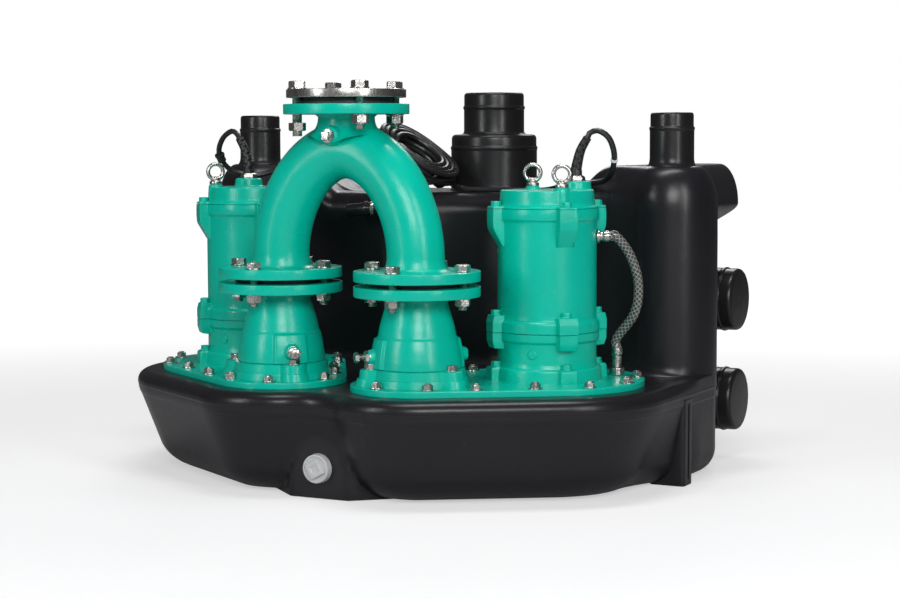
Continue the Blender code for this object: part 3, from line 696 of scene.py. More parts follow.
def tall_front():
    """The bay behind the pump, then the pillar's front, on the right half."""
    meet = math.atan2(*(VENT - PUMP)[::-1])
    return np.vstack([[(0, PUMP[1] + BAY)], arc(PUMP, BAY, math.pi / 2, meet),
                      arc(VENT, PILLAR, meet - math.pi, TO_PILLAR)])


def whole_outline(front, half_width):
    """Front, pillar, side wall, corner and back of one half, then its mirror image."""
    stop = math.acos((half_width - VENT[0]) / PILLAR)
    pillar = arc(VENT, PILLAR, TO_PILLAR, stop)
    corner_c = (half_width - CORNER, BACK - CORNER)
    corner = arc(corner_c, CORNER, 0, math.pi / 2)
    stretches = ((front, FRONT_N), (pillar, PILLAR_N),
                 (np.array([pillar[-1], (half_width, corner_c[1])]), WALL_N),
                 (corner, CORNER_N), (np.array([corner[-1], (0, BACK)]), BACK_N))
    half = np.vstack([read_evenly(line, n)[:-1] for line, n in stretches] + [[(0, BACK)]])
    return np.vstack([half, half[-2:0:-1] * (-1, 1)])


def inset(plan, distance):
    """The outline moved inwards square to itself: point - outward normal * distance."""
    run = np.roll(plan, -1, axis=0) - np.roll(plan, 1, axis=0)
    run /= np.linalg.norm(run, axis=1)[:, None]
    outward = np.column_stack([run[:, 1], -run[:, 0]])
    return plan - outward * np.broadcast_to(distance, len(plan))[:, None]


def ease(low, high, value):
    """0 below low, 1 above high, 3t^2 - 2t^3 between."""
    t = np.clip((value - low) / (high - low), 0, 1)
    return t * t * (3 - 2 * t)


def soft_max(a, b, k):
    """The larger of two values, with their meeting rounded over k: a cast or moulded fillet."""
    share = np.clip(0.5 + 0.5 * (a - b) / k, 0, 1)
    return b + (a - b) * share + k * share * (1 - share)


RIM = whole_outline(low_front(), SIDE_WALL)
TALL = whole_outline(tall_front(), SIDE_WALL)
TALL_WIDE = whole_outline(tall_front(), EAVES)
FRONTNESS = 1 - ease(0.150, 0.330, RIM[:, 1])
print("outline points:", len(RIM))

# %% [markdown]
# ## The tub
#
# Below the mould's parting line the walls lean inwards at the front and stand upright behind, and
# they curl into the floor. The formula is an inset for each height: lean times the drop, plus a
# quarter round near the floor, weighted by how far forward the point lies. A thin lip marks the
# parting line. Between the lobes an arch-shaped pad stands out of the notch for the drain plug:
# the wall there takes whichever is further forward, itself or the pad.

# %% Tub
PARTING, PLATFORM = 0.148, 0.167
PLUG_Z, PLUG_FACE = 0.048, 0.095


def tub_inset(z):
    """Lean plus curl for the front, curl alone for the rear, and a 0.8 mm lip at the parting."""
    curl = 1 - np.sqrt(1 - np.clip((0.042 - z) / 0.042, 0, 1) ** 2)
    lean = 0.377 * soft_max(0.138 - z, 0.0, 0.006)
    front = lean + 0.047 * curl
    lip = 0.0009 * (1 - ease(0.1435, 0.1455, z))
    band = 0.0007 * (1 - ease(0.1290, 0.1305, z))
    return FRONTNESS * front + (1 - FRONTNESS) * 0.040 * curl + lip + band


def with_pad(ring, z):
    """Push the notch's wall out to the drain pad, an arch 116 mm wide whose edge falls away."""
    x, y = ring[:, 0], ring[:, 1]
    arch = np.hypot(x / 0.052, max(z - 0.012, 0) / 0.083)
    low = np.abs(x) / 0.052
    beyond = np.maximum(np.where(z < 0.012, low, arch) - 1, 0)
    pad = -PLUG_FACE + 0.9 * beyond * 0.05 - 0.010 * ease(0.030, 0.0, z) * 0
    near = (np.abs(x) < 0.12) & (y < 0.02)
    pushed = -soft_max(-y, -pad, 0.004)
    return np.column_stack([x, np.where(near, pushed, y)])


heights = np.concatenate([[PARTING - 0.0002, 0.1462, 0.1452, 0.1442, 0.1434, 0.141],
                          np.linspace(0.138, 0.1315, 5), [0.1305, 0.1300, 0.1295, 0.1288],
                          np.linspace(0.126, 0.045, 26), 0.042 * np.cos(np.linspace(0.1, math.pi / 2, 14))])
rings = []
for z in heights:
    ring = with_pad(inset(RIM, tub_inset(z)), z)
    rings.append(np.column_stack([ring, np.full(len(ring), z)]))
tub_points = np.array(rings)
add_piece("moulded_tub", [patch(tub_points)], tank_black, ["tank_tub"], crease=50)
print("tub heights:", len(heights))

# %% [markdown]
# ## The hood
#
# The upper half rises from the parting line round the platform's soft edge, runs level under the
# pumps, sweeps up the bays, flares out under the shoulders and closes over the top. Each ring has
# its own plan: the rim's, the tall part's, or the wide one's. Between them the plans and heights
# are blended along a smooth curve, so that the foot of the bay and the eaves come out as large,
# soft radii, as a turned mould gives them.

# %% Hood
SHOULDER, SADDLE, SHOULDER_IN, SADDLE_OUT = 0.514, 0.465, 0.300, 0.225
EAVES_Z = 0.430


def roof(x):
    """Level saddle in the middle, level shoulders outside, and an S-curve between."""
    return SADDLE + (SHOULDER - SADDLE) * ease(SADDLE_OUT, SHOULDER_IN, np.abs(x))


def hood_stations():
    """Rings (plan, height) from the parting line to the edge of the roof."""
    yield RIM, np.full(len(RIM), PARTING + 0.0002)
    for a in np.linspace(0.05, math.pi / 2, 12):
        drop, rise = 1 - math.cos(a), math.sin(a)
        plan = inset(RIM, 0.020 * drop * FRONTNESS)
        yield plan, np.full(len(RIM), 0.1495 + (PLATFORM - 0.1495) * rise)
    low, high = inset(RIM, 0.020 * FRONTNESS), inset(TALL, -0.016 * FRONTNESS)
    for t in np.linspace(0.12, 1, 8):
        yield low + (high - low) * t, PLATFORM + 0.003 * t * (1 - FRONTNESS)
    for a in np.linspace(0.15, math.pi / 2, 10):
        plan = inset(TALL, -0.016 * FRONTNESS * (1 - math.sin(a)))
        yield plan, PLATFORM + 0.003 * (1 - FRONTNESS) + 0.020 * (1 - math.cos(a))
    for z in np.linspace(0.196, 0.396, 18):
        yield TALL, np.full(len(TALL), z)
    top = roof(TALL_WIDE[:, 0])
    eaves = np.minimum(EAVES_Z + 0.014, top - 0.034)
    for t in np.linspace(0.06, 1, 16):
        s = t * t * (3 - 2 * t)
        yield TALL + (TALL_WIDE - TALL) * s, 0.396 + (eaves - 0.396) * t
    for a in np.linspace(0.12, math.pi / 2, 16):
        plan = inset(TALL_WIDE, 0.034 * (1 - math.cos(a)))
        yield plan, eaves + (top - eaves) * math.sin(a)
    middle = INLET - (0, 0.030)
    edge = inset(TALL_WIDE, 0.034)
    for share in np.linspace(0.05, 0.97, 22):
        plan = edge + (middle - edge) * share
        yield plan, roof(plan[:, 0])


hood_points = np.array([np.column_stack([plan, z]) for plan, z in hood_stations()])
add_piece("moulded_hood", [patch(hood_points)], tank_black, ["tank_hood"], crease=50)
print("hood rings:", len(hood_points))

# %% [markdown]
# ## Sockets
#
# The inlet, the two vents and the four side sockets are turned steps moulded on with the tank and
# closed by a cap that is sawn off where a pipe is fitted. Each has the same language: a rounded
# cap, a smooth stretch, a small bead where the step begins, and a foot that flows into the tank.
# One profile helper rounds the corners, and each socket gives its own radii and heights.

# %% Sockets


def socket(name, node, corners, radii, at, direction=(0, 0, 1)):
    """Turned socket from rounded corners (radius, height), from the cap's middle to the foot."""
    profile = rounded(corners, radii, 6)
    return add_piece(name, [turned(profile, at, direction, 96)], socket_black, [node], 40)


INLET_CORNERS = [(0, 0.643), (0.0545, 0.643), (0.0545, 0.619), (0.0565, 0.6175), (0.0565, 0.6145),
                 (0.0550, 0.612), (0.0550, 0.568), (0.0775, 0.5665), (0.0775, 0.546), (0.0795, 0.5445),
                 (0.0795, 0.541), (0.0785, 0.5385), (0.0785, 0.468), (0.083, 0.463)]
socket("inlet", "inlet_socket", INLET_CORNERS,
       [0, 0.007, 0.002, 0.002, 0.002, 0.002, 0.006, 0.008, 0.002, 0.002, 0.002, 0.002, 0.008, 0],
       (*INLET, 0))
VENT_CORNERS = [(0, 0.603), (0.0360, 0.603), (0.0360, 0.5795), (0.0380, 0.578), (0.0380, 0.5755),
                (0.0370, 0.573), (0.0370, 0.520), (0.042, 0.512)]
SIDE_CORNERS = [(0, 0.455), (0.0545, 0.455), (0.0545, 0.432), (0.0565, 0.4305), (0.0565, 0.427),
                (0.0550, 0.424), (0.0550, 0.392), (0.060, 0.379)]
for sign, word in SIDES:
    socket("vent_" + word, "vent_socket_" + word, VENT_CORNERS,
           [0, 0.0055, 0.002, 0.0015, 0.0015, 0.002, 0.009, 0], (sign * VENT[0], VENT[1], 0))
    for level, z in (("lower", 0.099), ("upper", 0.276)):
        socket(f"side_socket_{level}_{word}", f"side_socket_{word}_{level}", SIDE_CORNERS,
               [0, 0.008, 0.002, 0.002, 0.002, 0.002, 0.008, 0], (0, 0.597, z), (sign, 0, 0))

# %% [markdown]
# ## Drain plug
#
# The plug is a pale disc with a bevelled rim and a raised square for a key, turned a little from
# upright. On the real plug the square carries a mark, which is left off here. A shallow round
# recess takes its place.

# %% Drain plug


def squircle(a, power=14.0):
    """Rounded square: 1 over the p-norm of (cos a, sin a)."""
    return (np.abs(np.cos(a)) ** power + np.abs(np.sin(a)) ** power) ** (-1 / power)


disc = rounded([(0, 0.0105), (0.0195, 0.0105), (0.0195, 0.0120), (0.0225, 0.0120), (0.0235, 0.0),
                (0, 0.0)], [0, 0.0008, 0.0008, 0.0015, 0.0, 0], 4)
key = rounded([(0, 0.0150), (0.0052, 0.0150), (0.0060, 0.0158), (0.0125, 0.0158), (0.0135, 0.0100),
               (0, 0.0100)], [0, 0.0005, 0.0005, 0.0012, 0, 0], 4)
key_shape = turned(key, around=96, section=squircle)
tilt = math.radians(28)
spin = np.array(((math.cos(tilt), -math.sin(tilt), 0), (math.sin(tilt), math.cos(tilt), 0), (0, 0, 1)))
key_shape = moved(key_shape, axes_of((0, -1, 0)) @ spin, (0, -PLUG_FACE, PLUG_Z))
add_piece("drain_plug_disc", [turned(disc, (0, -PLUG_FACE, PLUG_Z), (0, -1, 0), 72), key_shape],
          plug_grey, ["drain_plug"])

# %% [markdown]
# ## Cover plates
#
# Each pump and its valve stand on one painted plate, which covers an opening in the platform. Its
# outline is two circles joined by the lines that touch both. A profile of inset and height goes
# round that outline, with a small cast radius at the top edge, and a fan closes the middle.

# %% Cover plates
DECK = 0.1773             # top of the plates
PLATE_VALVE, PLATE_PUMP = 0.106, 0.157


def plate_outline(shrink=0.0):
    """Valve end and pump end, joined where a line touches both circles."""
    ahead = touching(VALVE, PLATE_VALVE, PUMP, PLATE_PUMP)
    behind = 2 * math.atan2(*(PUMP - VALVE)[::-1]) - ahead
    return np.vstack([arc(VALVE, PLATE_VALVE - shrink, behind, ahead + math.tau, 60),
                      arc(PUMP, PLATE_PUMP - shrink, ahead, behind, 80)])


plate_profile = rounded([(0.0, 0.1673), (0.0, DECK), (0.004, DECK)], [0, 0.0022, 0], 6)
plate_rings = [np.column_stack([plate_outline(s), np.full(140, z)]) for s, z in plate_profile]
plate_rings.append(np.column_stack([plate_outline(0.030), np.full(140, DECK)]))
plate_shape = patch(np.array(plate_rings), close=(False, True))
for sign, word in SIDES:
    add_piece("plate_" + word, mirrored([plate_shape], sign), paint,
              ["cover_plate_" + word])

# %% [markdown]
# ## Check valves
#
# A check valve is a bell on a foot with three corners, one under each foot bolt. Everything on it
# grows out of the bell through cast fillets, so the whole body is one radial surface: for each
# height and angle, the distance from the axis is the soft maximum of the bell, the foot's corners,
# and the boss of the lifting screw. The foot has a joint half way up, drawn in as a fine groove.

# %% Valve bodies
FOOT_ANGLES = np.radians((-137, -17, 103))     # the foot's corners, on the right half
SCREW_ANGLE = math.radians(-135)


def turn_from(a, target):
    """Signed difference of two angles, between -pi and pi."""
    return (a - target + math.pi) % math.tau - math.pi


def foot_radius(a):
    """Foot outline: soft maximum of a circle and one round corner at each bolt."""
    radius = np.full_like(a, 0.0765)
    for corner in FOOT_ANGLES:
        d = turn_from(a, corner)
        reach = 0.073 * np.cos(d) + np.sqrt(np.maximum(0.0205**2 - (0.073 * np.sin(d)) ** 2, 0))
        radius = soft_max(radius, np.where(np.abs(d) < 0.5, reach, 0), 0.010)
    return radius


valve_rows = rounded([
    (DECK, 0.0, 1.06), (0.1885, 0.0, 1.035), (0.1890, 0.0, 1.0), (0.2020, 0.0, 0.985),
    (0.2035, 0.0, 0.90), (0.2040, 0.0710, 0.0), (0.2150, 0.0704, 0.0), (0.2340, 0.0677, 0.0),
    (0.2500, 0.0640, 0.0), (0.2530, 0.0618, 0.0), (0.2710, 0.0584, 0.0), (0.2900, 0.0527, 0.0),
    (0.3050, 0.0485, 0.0), (0.3140, 0.0490, 0.0)],
    [0, 0.0015, 0.0012, 0.0015, 0.0008, 0.0025, 0.004, 0.006, 0.0025, 0.0025, 0.006, 0.008, 0.006, 0], 6)
a = circle(288)
z, bell, foot = (valve_rows[:, k, None] for k in range(3))
shape_r = soft_max(bell + 0 * a, foot * foot_radius(a)[None], 0.004)
flat = 0.0030 * np.exp(-((turn_from(a, SCREW_ANGLE) / 0.42) ** 6))
for spot in (SCREW_ANGLE, SCREW_ANGLE + math.pi):
    d = turn_from(a, spot)
    across, rise = 0.072 * np.sin(d), z - 0.222
    reach = 0.0785 - 0.012 * ease(0.0095, 0.0135, np.hypot(across, rise))
    inside = np.hypot(across, rise) < 0.0135
    shape_r = np.where(inside & (np.abs(d) < 1), np.maximum(shape_r, reach + 0 * shape_r), shape_r)
cheek = ease(0.10, 0.0, np.abs(np.abs(turn_from(a, SCREW_ANGLE + math.pi / 2)) - math.pi / 2) - 0.35)
shape_r = shape_r + 0.0035 * cheek * ease(0.251, 0.249, z) * ease(0.2035, 0.2045, z)
valve_points = np.stack([shape_r * np.cos(a), shape_r * np.sin(a), z + 0 * a], -1)
valve_shape = moved(patch(valve_points), shift=(*VALVE, 0))


def flange(top, bottom, radius, hole, at, edge=0.0012):
    """Turned disc with broken edges and a bore."""
    ring = rounded([(hole, top), (radius, top), (radius, bottom), (hole, bottom), (hole, top)],
                   [0, edge, edge, edge, 0], 4)[:-1]
    return turned(ring, at, around=160, ring=True)


JOINT_TOP, FLANGE_T, JOINT_GAP, FLANGE_R = 0.355, 0.016, 0.008, 0.100
valve_flange = flange(JOINT_TOP - FLANGE_T - JOINT_GAP, JOINT_TOP - 2 * FLANGE_T - JOINT_GAP,
                      FLANGE_R, 0.040, (*VALVE, 0))
neck_fillet = turned(rounded([(0.047, 0.300), (0.0495, 0.309), (0.060, 0.3152)], [0, 0.008, 0], 8),
                     (*VALVE, 0), around=120)
for sign, word in SIDES:
    add_piece("check_valve_body_" + word, mirrored([valve_shape, valve_flange], sign), paint,
              ["check_valve_" + word])

# %% [markdown]
# ## The inverted U pipe
#
# Both valves feed one pipe: two straight legs and an arch a little fuller than half an ellipse,
# x = 0.123 cos(a)^p and z = z0 + 0.1685 sin(a)^p. A circle is swept along it. Where the outlet's
# neck stands on the crown, the pipe swells into it: the neck is a turned flare whose foot spreads
# into the crown. The flanges are 200 mm discs.

# %% Pipe
PIPE_R, BORE_R = 0.0455, 0.040
OUTLET_TOP = 0.616
arch_a = np.linspace(0, math.pi, 73)
p = 1.05
arch_x = 0.123 * np.sign(np.cos(arch_a)) * np.abs(np.cos(arch_a)) ** p
arch_z = 0.3755 + 0.1685 * np.sin(arch_a) ** p
leg_z = np.linspace(JOINT_TOP - 0.012, 0.3745, 8)
arch_line = np.vstack([np.column_stack([np.full(8, 0.123), np.zeros(8), leg_z]),
                       np.column_stack([arch_x, 0 * arch_x, arch_z]),
                       np.column_stack([np.full(8, -0.123), np.zeros(8), leg_z[::-1]])])
arch_line = read_evenly(arch_line, 110)
swell = PIPE_R + 0.0035 * np.exp(-((arch_line[:, 2] - JOINT_TOP) / 0.010) ** 2)
pipe_shapes = [swept(arch_line, swell, 96)]


def neck_surface():
    """Flare that meets the crown: the radius grows by (depth below the fillet)^2 towards it."""
    turn = circle(120)
    rows = np.linspace(0, 1, 26)[:, None]
    crown = 0.544 + np.sqrt(np.maximum(0.0455**2 - (0.060 * np.sin(turn)) ** 2 * 0.55, 1e-5))
    crown = crown - 0.022 * np.cos(turn) ** 2
    high = 0.600
    z_here = crown + (high - crown) * (1 - (1 - rows) ** 1.0)
    flare = 0.0150 * (1 - rows) ** 3 + 0.0045 * ease(0.85, 1.0, rows)
    r_here = 0.0450 + flare
    return patch(np.stack([r_here * np.cos(turn), r_here * np.sin(turn), z_here + 0 * r_here], -1),
                 close=(False, False))


pipe_shapes.append(neck_surface())
pipe_shapes.append(flange(OUTLET_TOP, OUTLET_TOP - FLANGE_T, FLANGE_R, BORE_R, (0, 0, 0)))
for sign, word in SIDES:
    pipe_shapes.append(flange(JOINT_TOP, JOINT_TOP - FLANGE_T, FLANGE_R, BORE_R, (sign * 0.125, 0, 0)))
    pipe_shapes.append(turned(rounded([(0.0450, 0.372), (0.0470, 0.3585), (0.0560, 0.3549)],
                                      [0, 0.008, 0], 8), (sign * 0.1235, 0, 0), around=96))
boss = rounded([(0, 0.0580), (0.0125, 0.0580), (0.0150, 0.0555), (0.0165, 0.045), (0.0215, 0.030),
                (0.024, 0.020)], [0, 0.001, 0.002, 0.004, 0.004, 0], 6)
pipe_shapes.append(turned(boss, (0, 0, 0.566), (0, -1, 0), 64))
add_piece("inverted_u_pipe", pipe_shapes, paint, ["u_pipe"])
bore = [(BORE_R, OUTLET_TOP + 0.022), (BORE_R, 0.560), (0.030, 0.500), (0, 0.480)]
print("pipe centre line", round(length_of(arch_line), 3), "m")

# %% [markdown]
# ## Pumps
#
# A pump is three castings on one axis: the base, the motor housing and its cover, held together by
# bolts through lugs on the diagonals. A lug is a block whose plan, seen from the axis, is the
# nearer of its flat face and its two sides: reach / cos d, or half width / |sin d|. Each row of
# the table below gives a height, the barrel's radius, the lug's reach and its half width, and the
# rounding helper softens all four together. The soft maximum then grows the lug out of the barrel.

# %% Pump castings


def lug_columns(extra=()):
    """Angles once round: close together where lug sides and corners fall, wide apart between."""
    base = circle(160)
    fine = [math.radians(45 + 90 * k) + s * d for k in range(4) for s in (-1, 1)
            for d in np.radians((6.2, 6.8, 7.4, 7.9, 8.3, 8.7, 9.1, 9.5, 10.0, 10.5, 11.2, 12.0))]
    return np.unique(np.concatenate([base, np.array(fine) % math.tau]).round(5))


LUG_COLUMNS = lug_columns()


def lugged(rows, radii, steps=4, k=0.0025):
    """Radial casting from rows (height, barrel radius, lug reach, lug half width)."""
    table = rounded(rows, radii, steps)
    z, barrel, reach, half = (table[:, k_, None] for k_ in range(4))
    radius = barrel + 0 * LUG_COLUMNS
    for k_ in range(4):
        d = turn_from(LUG_COLUMNS, math.radians(45 + 90 * k_))
        front = reach / np.cos(np.clip(d, -1.2, 1.2))
        side = half / np.maximum(np.abs(np.sin(d)), 1e-3)
        lug = -soft_max(-front, -side, 0.0025)
        radius = soft_max(radius, np.where(np.abs(d) < 0.6, lug, 0), k)
    return patch(np.stack([radius * np.cos(LUG_COLUMNS), radius * np.sin(LUG_COLUMNS),
                           z + 0 * radius], -1))


base_rows = [
    (DECK, 0.0885, 0.0990, 0.0140), (0.1960, 0.0870, 0.0985, 0.0135), (0.1985, 0.0850, 0.0960, 0.0130),
    (0.1990, 0.0815, 0.0, 0.0), (0.2050, 0.0798, 0.0, 0.0), (0.2270, 0.0795, 0.0, 0.0),
    (0.2290, 0.0795, 0.0940, 0.0135), (0.2380, 0.0800, 0.0970, 0.0150), (0.2410, 0.0838, 0.0975, 0.0150),
    (0.2535, 0.0840, 0.0975, 0.0150)]
motor_rows = [
    (0.2545, 0.0840, 0.0975, 0.0160), (0.2700, 0.0842, 0.0975, 0.0160), (0.2740, 0.0800, 0.0965, 0.0158),
    (0.2805, 0.0796, 0.0950, 0.0155), (0.2812, 0.0795, 0.0, 0.0), (0.3900, 0.0795, 0.0, 0.0),
    (0.3915, 0.0795, 0.0800, 0.0150), (0.4180, 0.0795, 0.0955, 0.0150), (0.4300, 0.0796, 0.0965, 0.0150),
    (0.4330, 0.0832, 0.0965, 0.0150), (0.4420, 0.0838, 0.0965, 0.0150), (0.4500, 0.0830, 0.0960, 0.0148)]
pump_parts = {"pump_base": lugged(base_rows, [0, .002, .001, .001, .003, .001, .001, .002, .002, 0]),
              "motor_housing": lugged(motor_rows, [0, .002, .002, .001, .001, .001, .001, .004, .003,
                                                   .002, .003, 0])}
cover_rows = [
    (0.4508, 0.0825, 0.0960, 0.0148), (0.4535, 0.0815, 0.0955, 0.0145), (0.4545, 0.0775, 0.0, 0.0),
    (0.4580, 0.0758, 0.0, 0.0), (0.4775, 0.0748, 0.0, 0.0), (0.4790, 0.0735, 0.0, 0.0),
    (0.4790, 0.0600, 0.0, 0.0)]
pump_parts["motor_cover"] = lugged(cover_rows, [0, .001, .001, .003, .001, .001, 0])


def pump_bolt(z, reach):
    """Painted hexagon screw on a lug, with its washer."""
    head = rounded([(0, 0.0085), (0.0060, 0.0085), (0.0068, 0.0078), (0.0068, 0.0015)],
                   [0, 0.0006, 0.0006, 0], 3)
    washer = rounded([(0.0, 0.0016), (0.0092, 0.0016), (0.0092, 0.0)], [0, 0.0005, 0], 3)
    shapes = []
    for k in range(4):
        turn = math.radians(45 + 90 * k)
        at = (reach * math.cos(turn), reach * math.sin(turn), z)
        shapes += [turned(head, at, around=48, section=hexagon), turned(washer, at, around=32)]
    return shapes


eye_angles = {"front": math.radians(-45), "rear": math.radians(135)}
EYE_R, GLAND = 0.065, np.array((0.034, 0.040))
eye_boss = rounded([(0, 0.4835), (0.0105, 0.4835), (0.0118, 0.4810), (0.0125, 0.4760),
                    (0.0135, 0.4560), (0.0160, 0.4530)], [0, 0.001, 0.002, 0.003, 0.002, 0], 5)
gland_boss = rounded([(0, 0.4925), (0.0205, 0.4925), (0.0230, 0.4905), (0.0240, 0.4800),
                      (0.0275, 0.4785)], [0, 0.001, 0.002, 0.003, 0], 5)
cover_extras = [turned(gland_boss, (*GLAND, 0), around=64)]
for angle in eye_angles.values():
    cover_extras.append(turned(eye_boss, (EYE_R * math.cos(angle), EYE_R * math.sin(angle), 0),
                               around=48))
slot_screw = [turned(rounded([(0, 0.0815), (0.0065, 0.0815), (0.0078, 0.0800), (0.0078, 0.0780)],
                             [0, 0.0006, 0.0006, 0], 3), (0, 0, 0.2215), (0.13, -1, 0), 40)]
for sign, word in SIDES:
    for part, shape in pump_parts.items():
        shapes = [shape]
        if part == "motor_cover":
            shapes = [shape] + cover_extras + pump_bolt(0.4535, 0.0865)
        if part == "motor_housing":
            shapes = [shape] + pump_bolt(0.2808, 0.0865)
        if part == "pump_base":
            shapes = [shape] + pump_bolt(0.1988, 0.0865) + slot_screw
        shapes = [moved(s, shift=(*PUMP, 0)) for s in shapes]
        add_piece(f"{part}_casting_{word}", mirrored(shapes, sign), paint,
                  [f"{part}_{word}"])

# %% [markdown]
# ## Gaskets and the loose flange
#
# The joints are sealed by plain black rings, set well inside the bolts, so a dark gap shows
# between the flanges. On the outlet lies a loose steel flange for the customer's pipe, 190 mm
# across, over a thicker two-part seal.

# %% Gaskets and steel flange
for sign, word in SIDES:
    low = JOINT_TOP - FLANGE_T - JOINT_GAP
    add_piece("joint_seal_" + word, [flange(low + 0.0077, low + 0.0003, 0.071, 0.041,
                                            (sign * VALVE[0], 0, 0), 0.001)],
              gasket_rubber, ["joint_gasket_" + word])
add_piece("outlet_seal", [flange(0.6257, 0.6208, 0.074, 0.0445, (0, 0, 0), 0.0008),
                          flange(0.6208, 0.6163, 0.078, 0.0445, (0, 0, 0), 0.0008)],
          gasket_rubber, ["outlet_gasket"])
add_piece("loose_flange", [flange(0.639, 0.626, 0.095, 0.0445, (0, 0, 0), 0.0010)],
          flange_steel, ["steel_flange"])

# %% [markdown]
# ## Fasteners
#
# A bolt is a hexagon head with a chamfer, a washer, a threaded shank and a nut. The chamfer is
# where the six flats meet a cone, so the head's radius is the smaller of the two. The thread is a
# fine zigzag of the shank's radius at its real pitch. On the outlet the two bolts in front
# are not tightened: their nuts sit at the shanks' ends, and the rear ones are up against the
# flange.

# %% Fastener shapes


def hex_head(apothem, height, base=0.0, around=48):
    """Hexagon with a chamfered top: radius = smaller of flat / cos(turn) and the cone's radius."""
    rows = np.array([0, 0.72, 0.80, 0.88, 0.95, 1.0])[:, None] * height
    cone = apothem * 0.94 + (height - rows) * 1.75
    turn = circle(around)
    radius = np.minimum(apothem * hexagon(turn), cone)
    points = np.stack([radius * np.cos(turn), radius * np.sin(turn), base + rows + 0 * radius], -1)
    return patch(points)


def disc(radius, low, high, edge=0.0004, around=40):
    """Washer: a flat disc with broken edges."""
    return turned(rounded([(0, high), (radius, high), (radius, low), (0, low)], [0, edge, edge, 0], 3),
                  around=around)


def thread(radius, low, high, pitch=0.002):
    """Shank whose radius zigzags once in each pitch."""
    z = np.arange(low, high, pitch / 2)
    r = radius - 0.00055 * (np.arange(len(z)) % 2)
    profile = np.vstack([[(0, low)], np.column_stack([r, z]), [(radius * 0.85, high), (0, high)]])
    return turned(profile[::-1], around=24)


def set_at(shapes, at, spin=0.0, upside=False):
    """Place a fastener: spin it about its axis, turn it over if asked, and shift it."""
    c, s = math.cos(spin), math.sin(spin)
    turn = np.array(((c, -s, 0), (s, c, 0), (0, 0, 1)))
    if upside:
        turn = np.diag((1, -1, -1)) @ turn
    return [moved(shape, turn, at) for shape in shapes]


# %% Flange bolts
HEAD, NUT = 0.0120, 0.0120     # half the width across flats
rng = np.random.default_rng(7)
outlet_bolts = []
for k, nut_top in enumerate((0.5975, 0.5895, 0.5865, 0.5975)):
    turn = math.radians(45 + 90 * k)
    at = (0.080 * math.cos(turn), 0.080 * math.sin(turn), 0)
    bolt = [hex_head(HEAD, 0.0105, 0.6415), disc(0.0150, 0.6392, 0.6413),
            thread(0.0078, nut_top - 0.021, 0.640)]
    nut = [hex_head(NUT, 0.0130, 0.0)]
    outlet_bolts += set_at(bolt, at, rng.uniform(0, 1)) + set_at(nut, (*at[:2], nut_top), rng.uniform(0, 1), True)
    if nut_top > 0.592:
        outlet_bolts += set_at([disc(0.0145, -0.0021, 0.0)], (*at[:2], 0.5999))
add_piece("outlet_bolts", outlet_bolts, bolt_steel)
for sign, word in SIDES:
    joint = []
    for k in range(4):
        turn = math.radians(90 * k)
        at = (sign * VALVE[0] + 0.080 * math.cos(turn), 0.080 * math.sin(turn), 0)
        low = JOINT_TOP - 2 * FLANGE_T - JOINT_GAP
        bolt = [hex_head(0.0108, 0.0095, 0.3572), disc(0.0132, 0.3551, 0.3571),
                thread(0.0068, low - 0.019, 0.356)]
        joint += set_at(bolt, at, rng.uniform(0, 1))
        joint += set_at([hex_head(0.0108, 0.0110, 0.0021), disc(0.0132, 0.0001, 0.0020)],
                        (*at[:2], low), rng.uniform(0, 1), True)
    add_piece("joint_bolts_" + word, joint, bolt_steel)

# %% [markdown]
# ## Plate and foot bolts
#
# The cover plates are held by bolts all along their edge. Their places follow the plate: some on
# a circle round the valve, some on a circle round the pump, and a few along the line between.

# %% Plate bolts
plate_bolts = [VALVE + 0.0880 * np.array((math.cos(t), math.sin(t)))
               for t in np.radians((-172, -108, -52, 139))]
plate_bolts += [PUMP + 0.1450 * np.array((math.cos(t), math.sin(t)))
                for t in np.radians((-73, -39, -5, 29, 62, 100, 140))]
plate_bolts += [np.array((0.244, -0.034)), np.array((0.097, 0.121)), np.array((0.130, 0.190))]
small_bolt = [disc(0.0112, 0.0001, 0.0016), hex_head(0.0072, 0.0070, 0.0017, 36),
              moved(hex_head(0.0045, 0.0022, 0.0085, 24))]
foot_bolt = [disc(0.0110, 0.0001, 0.0016), hex_head(0.0085, 0.0072, 0.0017, 36)]
for sign, word in SIDES:
    shapes = []
    for x, y in plate_bolts:
        shapes += set_at(small_bolt, (sign * x, y, DECK), rng.uniform(0, 1))
    for turn in FOOT_ANGLES:
        at = (VALVE + 0.0755 * np.array((math.cos(turn), math.sin(turn)))) * (sign, 1)
        shapes += set_at(foot_bolt, (*at, 0.2030), rng.uniform(0, 1))
    add_piece("plate_bolts_" + word, shapes, bolt_steel)

# %% [markdown]
# ## Lifting screws and the vent plug
#
# A short hexagon screw with a lock nut stands out of each valve's boss, to lift its flap by hand.
# A square-headed plug closes the vent in the pipe's crown. All of them are turned or hexagonal
# pieces set along their own direction.

# %% Screws and plug


def along_direction(shapes, at, direction):
    """Turn shapes that stand on +Z to a direction, and shift them."""
    return [moved(s, axes_of(direction), at) for s in shapes]


